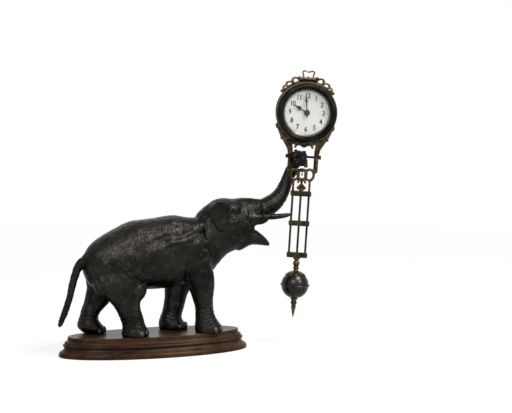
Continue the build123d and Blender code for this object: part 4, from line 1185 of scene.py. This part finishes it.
@dataclass
class CastOrnament:
    """A pierced casting in the plane of the swinger, grown together from scrolls and lobes."""

    swing: SwingFrame
    grain: float = 0.32

    def cast(self, parts: List[Piece], name: str, material: Material, *nodes: str) -> None:
        """Grows parts into one casting and gives it to the frame.

        Args:
            parts: meshes in swinger millimetres.
            name: the piece's name.
            material: its finish.
            nodes: the CAD nodes that it stands for.
        """
        piece = Bench.join(parts, name)
        Bench.modify(piece, "REMESH", mode="VOXEL", voxel_size=self.grain, use_smooth_shade=True)
        Bench.modify(piece, "SMOOTH", factor=0.5, iterations=2)
        Bench.settle(piece, self.swing.place())
        Bench.smooth(piece, 60.0)
        hand_over(piece, material, Body.SWINGER, Slot.BRONZE, *nodes)

    @staticmethod
    def scroll(points: Sequence[Pair], radii: Sequence[float], closed: bool = False,
               flat: float = 1.0) -> Piece:
        """Round or flattened bar along points of x and z.

        Args:
            points: the scroll's line.
            radii: its radius at each point.
            closed: whether its ends meet.
            flat: how much thinner it is from front to back than across.

        Returns:
            The new object.
        """
        bar = Bench.rod("scroll", [(x, 0.0, z) for x, z in points], radii, closed, 2)
        Bench.stretch(bar, (1.0, flat, 1.0), (0, 0, 0))
        return bar

    @staticmethod
    def lobe(x: float, z: float, length: float, width: float, turn: float, depth: float = -1.2) -> Piece:
        """Leaf lobe lying on the front of the casting.

        Args:
            x: its centre across.
            z: its centre up.
            length: its half length.
            width: its half width.
            turn: its turn from upright, clockwise seen from the front, in degrees.
            depth: its place along y.

        Returns:
            The new object.
        """
        return Bench.ball("lobe", (x, depth, z), (width, 1.1, length), (0, turn, 0), 16)

    @staticmethod
    def both_sides(parts: List[Piece]) -> List[Piece]:
        """Parts together with their mirror images."""
        return parts + [Bench.mirrored(part) for part in parts]


@dataclass
class LyreFrame(CastOrnament):
    """Ring round the drum, leafy arms, rails and apron."""

    ring_radius: float = 28.0
    ring_depth: float = 1.7
    rail_end: float = -10.0

    def build(self, finishes: Finishes) -> None:
        """Models the lyre.

        Args:
            finishes: the materials.
        """
        Bench.clear()
        bpy.ops.mesh.primitive_torus_add(major_radius=self.ring_radius, minor_radius=1.0, major_segments=120,
                                         minor_segments=12, location=(0, 0, self.swing.head_rise),
                                         rotation=(math.pi / 2, 0, 0))
        ring = Bench.placed("ring")
        Bench.stretch(ring, (1.0, self.ring_depth, 1.0), (0, 0, self.swing.head_rise))
        arm = ((-26.2, 33.0), (-23.4, 27.4), (-19.4, 21.6), (-15.3, 15.6), (-13.0, 9.4), (-12.4, 2.0),
               (-12.4, self.rail_end))
        left = [
            self.scroll(arm, (0.8, 2.3, 3.6, 3.7, 2.8, 2.35, 2.3), flat=0.55),
            self.scroll(((-25.4, 33.2), (-26.8, 32.4), (-27.0, 30.6), (-25.4, 28.4)), (0.9, 0.9, 1.0, 1.2)),
            self.scroll(((-16.0, 18.0), (-12.0, 16.4), (-8.4, 15.2), (-4.6, 14.8)), (2.0, 1.8, 1.9, 2.2),
                        flat=0.75),
            self.scroll(((-10.0, 15.8), (-8.2, 14.0), (-7.4, 12.4), (-8.2, 11.4), (-9.3, 11.9)),
                        (1.0, 0.95, 0.95, 0.95, 0.8)),
        ]
        leaves = (
            (-24.2, 28.2, 3.4, 1.4, -34),
            (-20.6, 22.6, 3.8, 1.7, -36),
            (-17.0, 16.8, 3.6, 1.6, -32),
            (-14.4, 10.8, 3.2, 1.4, -14),
            (-13.0, 4.8, 2.8, 1.2, 0),
            (-12.7, -1.0, 2.8, 1.2, 0),
            (-12.7, -6.4, 2.6, 1.2, 0),
            (-21.6, 20.2, 2.4, 1.1, 14),
            (-16.0, 19.8, 2.2, 1.1, 58),
            (-12.0, 17.2, 2.4, 1.0, 66),
            (-5.4, 15.8, 2.8, 1.4, -58),
            (-3.6, 14.2, 2.2, 1.2, -40),
        )
        left += [self.lobe(*row) for row in leaves]
        middle = [
            Bench.ball("apron", (0, 0, 15.8), (8.2, 1.5, 2.9)),
            Bench.ball("drop", (0, -0.3, 13.4), (2.9, 1.5, 2.3)),
            self.lobe(0, 12.6, 1.4, 1.0, 0, -1.9),
            self.lobe(0, 15.6, 1.8, 3.4, 0),
        ]
        self.cast([ring] + self.both_sides(left) + middle, "lyre_casting", finishes.bronze, "lyre_frame")


@dataclass
class Crown(CastOrnament):
    """Leaf bar, wire bow and pierced scrolls over the ring."""

    ring_outer: float = 28.95
    bar_rise: float = 2.35
    bow_wire: float = 0.75
    scrolls: Sequence[Tuple[Sequence[Pair], Sequence[float]]] = (
        (((14, 0.8), (17, 3.2), (21.5, 5.0), (26, 4.6), (27.6, 2.8), (25.2, 2.2)),
         (1.0, 0.9, 0.95, 1.15, 1.15, 1.0)),
        (((26, 0.7), (30, 2.6), (34.5, 4.2), (38.6, 3.6), (39.4, 1.9), (37.2, 1.6)),
         (0.95, 0.85, 0.95, 1.15, 1.1, 0.9)),
        (((38, 0.6), (41, 2.4), (44.2, 3.2), (46.8, 2.2), (45.4, 1.2)), (0.9, 0.9, 1.1, 1.1, 0.9)),
        (((46.5, 0.4), (50, 1.9), (53, 1.9), (54, 0.3)), (0.9, 1.0, 1.1, 0.6)),
    )

    def build(self, finishes: Finishes) -> None:
        """Models the crown.

        Args:
            finishes: the materials.
        """
        rise = self.swing.head_rise

        def on_ring(angle: float, off: float) -> Pair:
            """Point at an angle from upright, to the left, and a distance off the ring."""
            radius = self.ring_outer + off
            return -radius * math.sin(math.radians(angle)), rise + radius * math.cos(math.radians(angle))

        bar = rise + self.ring_outer + self.bar_rise
        left = [
            self.scroll([on_ring(angle, 0.4) for angle in range(0, 55, 9)], [0.8] * 7),
            *[self.scroll([on_ring(*spot) for spot in spots], radii) for spots, radii in self.scrolls],
            Bench.ball("leaf", (-3.4, -0.4, bar - 0.2), (3.2, 1.5, 1.9), (0, 20, 0), 16),
            Bench.ball("leaf", (-6.6, -0.4, bar - 0.5), (2.8, 1.5, 2.1), (0, -24, 0), 16),
            Bench.ball("curl", (-8.4, -0.6, bar + 0.5), (1.7, 1.5, 1.7), (0, 0, 0), 16),
            Bench.ball("foot", (-5.0, 0, bar - 2.0), (4.6, 1.2, 1.4), (0, 0, 0), 16),
        ]
        top = bar + 1.4
        half_bow = ((-4.4, 0.0), (-4.9, 2.6), (-5.5, 4.5), (-4.4, 5.6))
        other_half = [(-x, z) for x, z in reversed(half_bow)]
        bow = [(x, top + z) for x, z in (*half_bow, (0, 4.9), *other_half)]
        middle = [
            self.scroll(bow, [self.bow_wire] * len(bow)),
            Bench.ball("bud", (0, -0.6, bar), (2.2, 1.6, 2.4), (0, 0, 0), 16),
        ]
        self.cast(self.both_sides(left) + middle, "crown_casting", finishes.gilt, "crown_ornament")


@dataclass
class LowerOrnament(CastOrnament):
    """Shoulders under the rails, pierced eye, side loops and trefoil foot."""

    eye_rise: float = -14.5
    shoulder_rise: float = -9.6
    foot_rise: float = -30.0

    def build(self, finishes: Finishes) -> None:
        """Models the ornament.

        Args:
            finishes: the materials.
        """
        eye = self.eye_rise
        turns = [2 * math.pi * step / 12 for step in range(12)]
        circle = [(4.2 * math.cos(turn), eye + 4.2 * math.sin(turn)) for turn in turns]
        oval = [(-7.1 + 3.9 * math.cos(turn), eye + 0.1 + 5.1 * math.sin(turn)) for turn in turns]
        left = [
            self.scroll(oval, [1.35] * 12, True),
            self.scroll(((-12.7, self.shoulder_rise), (-12.4, -11.2), (-10.8, -11.4)), (2.0, 1.7, 1.2),
                        flat=0.9),
            self.scroll(((-11.0, -9.8), (-7.6, -9.4), (-4.0, -10.0), (-1.0, -10.4)), (1.3, 1.3, 1.2, 1.3),
                        flat=0.9),
            self.scroll(((-7.6, -19.6), (-7.7, -24), (-7.7, self.foot_rise + 0.05)), (1.2, 1.1, 1.2)),
            self.scroll(((-1.4, -19.4), (-3.0, -20.6), (-3.3, -21.8), (-2.4, -22.2)), (0.9, 1.0, 1.1, 0.8)),
            self.scroll(((-0.8, -24.0), (-2.2, -25.6), (-3.3, -27.2), (-2.2, -28.0)), (0.9, 1.0, 1.25, 0.9)),
        ]
        middle = [
            self.scroll(circle, [1.2] * 12, True),
            self.scroll(((0, -18.6), (0, -22.4), (0, -26.0), (0, self.foot_rise + 0.3)), (1.6, 1.2, 1.5, 2.5),
                        flat=0.8),
            self.lobe(0, -25.6, 2.8, 1.0, 0),
            Bench.ball("plate", (0, 0, -9.8), (3.6, 1.4, 1.5), (0, 0, 0), 16),
            Bench.ball("pip", (0, 0.0, eye + 0.3), (0.75, 0.9, 1.7), (0, 0, 0), 12),
            self.scroll(((0, eye + 1.0), (0, eye + 3.6)), (0.5, 0.6)),
        ]
        self.cast(self.both_sides(left) + middle, "lower_casting", finishes.bronze, "lower_ornament")


@dataclass
class Bob:
    """Leaf cap over the CAD shells of the ball bob."""

    swing: SwingFrame
    rise: float = -119.7
    radius: float = 13.0
    cap_step: float = 0.5
    cap_lift: float = 0.12
    cap_hole: float = 12.0
    cap_ring: float = 24.0
    petal_reach: float = 24.0
    petals: int = 10

    def build(self, finishes: Finishes) -> None:
        """Models the leaf cap and gives it to the frame.

        Args:
            finishes: the materials.
        """
        Bench.clear()
        bpy.ops.mesh.primitive_uv_sphere_add(segments=16 * self.petals, ring_count=96,
                                             radius=self.radius + self.cap_lift)
        cap = Bench.fresh("bob_leaf_cap")
        with Bench.editing(cap, "FACE", "DESELECT"):
            Bench.choose_faces(cap, lambda centre, normal: not self._on_petal(centre))
            bpy.ops.mesh.delete(type="FACE")
        Bench.modify(cap, "SMOOTH", factor=0.5, iterations=2)
        Bench.modify(cap, "SOLIDIFY", thickness=self.cap_step, offset=1.0)
        Bench.modify(cap, "BEVEL", width=0.22, segments=2, limit_method="ANGLE")
        Bench.settle(cap, self.swing.place(self.rise))
        Bench.smooth(cap, 45.0)
        hand_over(cap, finishes.bronze, Body.SWINGER, Slot.GILT, "bob_cap")

    def _on_petal(self, centre: Vector) -> bool:
        """Whether a place on the sphere lies on the cap's ring or one of its petals."""
        down = math.degrees(math.acos(max(-1.0, min(1.0, centre.z / centre.length))))
        lap = 360.0 / self.petals
        off = abs((math.degrees(math.atan2(centre.y, centre.x)) % lap) - lap / 2) / (lap / 2)
        if down < self.cap_hole:
            return False
        if down < self.cap_ring:
            return True
        reach = (down - self.cap_ring) / self.petal_reach
        return reach < 1.0 and off < 0.98 * math.sqrt(max(0.0, 1.0 - reach ** 1.6))


@dataclass
class ClockHead:
    """Dial furniture: numerals, minute track and sight ring."""

    swing: SwingFrame
    dial_front: float = -10.4
    opening: float = 22.3
    numeral_circle: float = 15.8
    numeral_size: float = 6.5
    numeral_weight: float = 0.1
    track_circle: float = 19.6
    sight_inner: float = 20.7
    sight_front: float = -12.4
    numeral_narrow: float = 0.82
    dots: Point = (0.55, 0.4, 0.2)

    def build(self, finishes: Finishes) -> None:
        """Models the dial's marks and the ring round them.

        Args:
            finishes: the materials.
        """
        self._numerals(finishes)
        self._track(finishes)
        self._sight_ring(finishes)

    def _finish(self, piece: Piece, material: Material, slot: Slot) -> None:
        """Sets a piece on the head and gives it to the frame."""
        Bench.settle(piece, self.swing.place(self.swing.head_rise))
        hand_over(piece, material, Body.SWINGER, slot)

    def _at(self, circle: float, angle: float, proud: float) -> Point:
        """Place on a circle of the dial.

        Args:
            circle: the circle's radius.
            angle: clockwise from 12, in radians.
            proud: how far it stands in front of the dial.

        Returns:
            The place in the head's own frame.
        """
        return circle * math.sin(angle), self.dial_front - proud, circle * math.cos(angle)

    def _numerals(self, finishes: Finishes) -> None:
        """Upright plain numerals from 1 to 12."""
        made = []
        for hour in range(1, 13):
            angle = math.radians(30 * hour)
            Bench.clear()
            bpy.ops.object.text_add()
            text = Bench.fresh("numeral")
            text.data.body = str(hour)
            text.data.size = self.numeral_size
            text.data.align_x = "CENTER"
            text.data.align_y = "CENTER"
            text.data.extrude = 0.02
            text.data.offset = self.numeral_weight
            text.data.bevel_depth = self.numeral_weight
            text.data.bevel_resolution = 0
            bpy.ops.object.convert(target="MESH")
            place = Matrix.Translation(self._at(self.numeral_circle, angle, 0.03))
            narrow = Matrix.Diagonal((self.numeral_narrow, 1.0, 1.0, 1.0))
            Bench.settle(text, place @ Matrix.Rotation(math.pi / 2, 4, "X") @ narrow)
            made.append(text)
        self._finish(Bench.join(made, "dial_numerals"), finishes.ink, Slot.HANDS)

    def _track(self, finishes: Finishes) -> None:
        """Ring of minute dots, larger at each hour and largest at the quarters."""
        quarter, hour, plain = self.dots
        made = []
        for minute in range(60):
            angle = math.radians(6 * minute)
            radius = quarter if minute % 15 == 0 else hour if minute % 5 == 0 else plain
            Bench.clear()
            bpy.ops.mesh.primitive_cylinder_add(vertices=10, radius=radius, depth=0.05,
                                                rotation=(math.pi / 2, 0, 0),
                                                location=self._at(self.track_circle, angle, 0.02))
            made.append(Bench.placed("dot"))
        self._finish(Bench.join(made, "minute_track"), finishes.ink, Slot.HANDS)

    def _sight_ring(self, finishes: Finishes) -> None:
        """Polished sloping ring between the bezel's lip and the dial."""
        Bench.clear()
        bpy.ops.mesh.primitive_circle_add(vertices=120, radius=self.opening - 0.05,
                                          rotation=(math.pi / 2, 0, 0), location=(0, self.sight_front, 0))
        ring = Bench.placed("sight_ring")
        with Bench.editing(ring):
            slope = (self.opening - self.sight_inner) / 3
            steps = ((0.3, self.opening - 0.3), (0.7, self.opening - slope), (0.5, self.sight_inner + 0.4),
                     (0.3, self.sight_inner), (0.1, self.sight_inner + 0.3))
            for depth, radius in steps:
                bpy.ops.mesh.extrude_region_move(TRANSFORM_OT_translate={"value": (0, depth, 0)})
                bpy.ops.object.mode_set(mode="OBJECT")
                now = max(math.hypot(v.co.x, v.co.z) for v in ring.data.vertices if v.select)
                bpy.ops.object.mode_set(mode="EDIT")
                bpy.ops.transform.resize(value=(radius / now, 1.0, radius / now), center_override=(0, 0, 0))
            bpy.ops.mesh.select_all(action="SELECT")
            bpy.ops.mesh.normals_make_consistent(inside=False)
        Bench.modify(ring, "SOLIDIFY", thickness=0.12, offset=0.0)
        Bench.smooth(ring, 50.0)
        self._finish(ring, finishes.silver, Slot.GILT)


def dress_fittings(nodes: Nodes, finishes: Finishes) -> None:
    """Gives a finish to the CAD pieces whose shapes stay.

    Args:
        nodes: the CAD nodes.
        finishes: the materials.
    """
    rows = (
        (finishes.patina, ("near_tusk", "far_tusk")),
        (finishes.black_bronze, ("bob_upper_shell", "bob_lower_shell", "bob_belt")),
        (finishes.bronze, ("bob_stem", "bob_ballast", "bob_finial")),
        (finishes.dark_bronze, ("bezel", "case_drum", "back_cover")),
        (finishes.enamel, ("dial",)),
        (finishes.glass, ("crystal",)),
        (finishes.ink, ("minute_hand", "hour_hand", "hand_nut")),
        (finishes.steel, ("pivot_bracket", "knife_block", "cross_pin", "foot_screws", "center_arbor",
                          "third_arbor", "escape_arbor", "barrel_arbor", "ratchet_wheel", "click",
                          "pallet_anchor", "mainspring")),
        (finishes.brass, ("front_plate", "back_plate", "pillars", "pillar_nuts", "center_wheel",
                          "third_wheel", "escape_wheel", "barrel", "cannon_pinion", "minute_wheel",
                          "hour_wheel", "inner_pendulum")),
        (finishes.rod_bronze, ("upper_crossbar", "middle_crossbar", "lower_crossbar", "pendulum_rods",
                               "pin_nuts")),
        (finishes.gilt, ("setting_knob", "winding_key")),
    )
    for material, names in rows:
        for name in names:
            Bench.coat(nodes[name], material)


@dataclass
class Studio:
    """Camera, floor and soft light."""

    focal: float = 154.7
    sensor: float = 36.0
    azimuth: float = -19.11
    elevation: float = 6.6
    distance: float = 2041.6
    target: Point = (90.28, -31.28, 136.6)
    floor_pale: Colour = (0.9, 0.9, 0.9, 1.0)
    floor_bounce: Colour = (0.4, 0.4, 0.4, 1.0)
    white_share: float = 0.8
    fill: float = 0.25
    floor_size: float = 14.0
    fade: Pair = (0.35, 1.1)
    lamp_aim: Point = (0.04, 0.0, 0.11)
    lamps: Sequence[Tuple[str, Point, float, Pair]] = (
        ("key_box", (-0.6, -1.05, 0.95), 9.5, (0.4, 0.5)),
        ("fill_box", (0.75, -1.05, 0.85), 8.0, (0.35, 0.5)),
        ("top_box", (0.5, -0.5, 1.15), 14.0, (0.6, 0.3)),
        ("back_box", (0.1, 1.1, 0.8), 3.0, (1.0, 0.6)),
    )

    def build(self) -> None:
        """Sets the studio."""
        self._camera()
        self._floor()
        self._lights()
        self._world()
        bpy.context.scene.view_settings.view_transform = "Standard"

    def _camera(self) -> None:
        """Camera at the photograph's viewing angle."""
        turn, lift = math.radians(self.azimuth), math.radians(self.elevation)
        back = Vector((math.sin(turn) * math.cos(lift), -math.cos(turn) * math.cos(lift), math.sin(lift)))
        Bench.clear()
        bpy.ops.object.camera_add(location=(Vector(self.target) + back * self.distance) * MM)
        camera = bpy.context.object
        camera.rotation_mode = "QUATERNION"
        camera.rotation_quaternion = (-back).to_track_quat("-Z", "Y")
        camera.data.lens = self.focal
        camera.data.sensor_width = self.sensor
        camera.data.clip_start = 0.05
        camera.data.clip_end = 50.0
        bpy.context.scene.camera = camera

    def _floor(self) -> None:
        """Wide pale floor that looks white to the camera and still takes a soft shadow."""
        Bench.clear()
        bpy.ops.mesh.primitive_plane_add(size=self.floor_size)
        floor = Bench.fresh("studio_floor")
        paint = Paint("floor_white")
        shown = paint.shown()
        paint.set(Base_Color=paint.blend(shown, self.floor_bounce, self.floor_pale), Roughness=0.8)
        away = paint.node("ShaderNodeVectorMath", {"operation": "LENGTH"}, {0: paint.coordinates()}, out=1)
        share = shown * (self.white_share + (1 - self.white_share) * away.within(*self.fade))
        white = paint.node("ShaderNodeEmission", {}, {"Color": (1.0, 1.0, 1.0, 1.0), "Strength": 1.0})
        pale = Wire(paint, paint.shader.outputs[0])
        mixed = paint.node("ShaderNodeMixShader", {}, {0: share, 1: pale, 2: white})
        output = paint.tree.nodes["Material Output"]
        paint.tree.links.new(mixed.socket, output.inputs["Surface"])
        Bench.coat(floor, paint.material)

    def _lights(self) -> None:
        """Two tall soft boxes in front, one overhead and a rim light behind."""
        aim = Vector(self.lamp_aim)
        for name, place, watts, size in self.lamps:
            Bench.clear()
            bpy.ops.object.light_add(type="AREA", location=place)
            lamp = bpy.context.object
            lamp.name = name
            lamp.data.shape = "RECTANGLE"
            lamp.data.size, lamp.data.size_y = size
            lamp.data.energy = watts
            lamp.rotation_mode = "QUATERNION"
            lamp.rotation_quaternion = (aim - Vector(place)).to_track_quat("-Z", "Y")

    def _world(self) -> None:
        """White surroundings for the camera and for reflections, softer as light."""
        paint = Paint("studio_world", world=True)
        bpy.context.scene.world = paint.material
        paint.set(Color=(1.0, 1.0, 1.0, 1.0), Strength=self.fill + (1 - self.fill) * paint.shown())


def main() -> None:
    """Builds the pieces in order."""
    logging.basicConfig(level=logging.INFO, format="%(message)s")
    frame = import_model()
    nodes = frame["nodes"]
    swing = SwingFrame.from_joints(frame["joints"])
    Studio().build()
    finishes = Finishes.make()
    Plinth().build(finishes)
    Elephant().build(nodes, finishes)
    TrunkKnot(swing).build(finishes)
    LyreFrame(swing).build(finishes)
    Crown(swing).build(finishes)
    LowerOrnament(swing).build(finishes)
    Bob(swing).build(finishes)
    ClockHead(swing).build(finishes)
    dress_fittings(nodes, finishes)


if __name__ == "__main__":
    main()
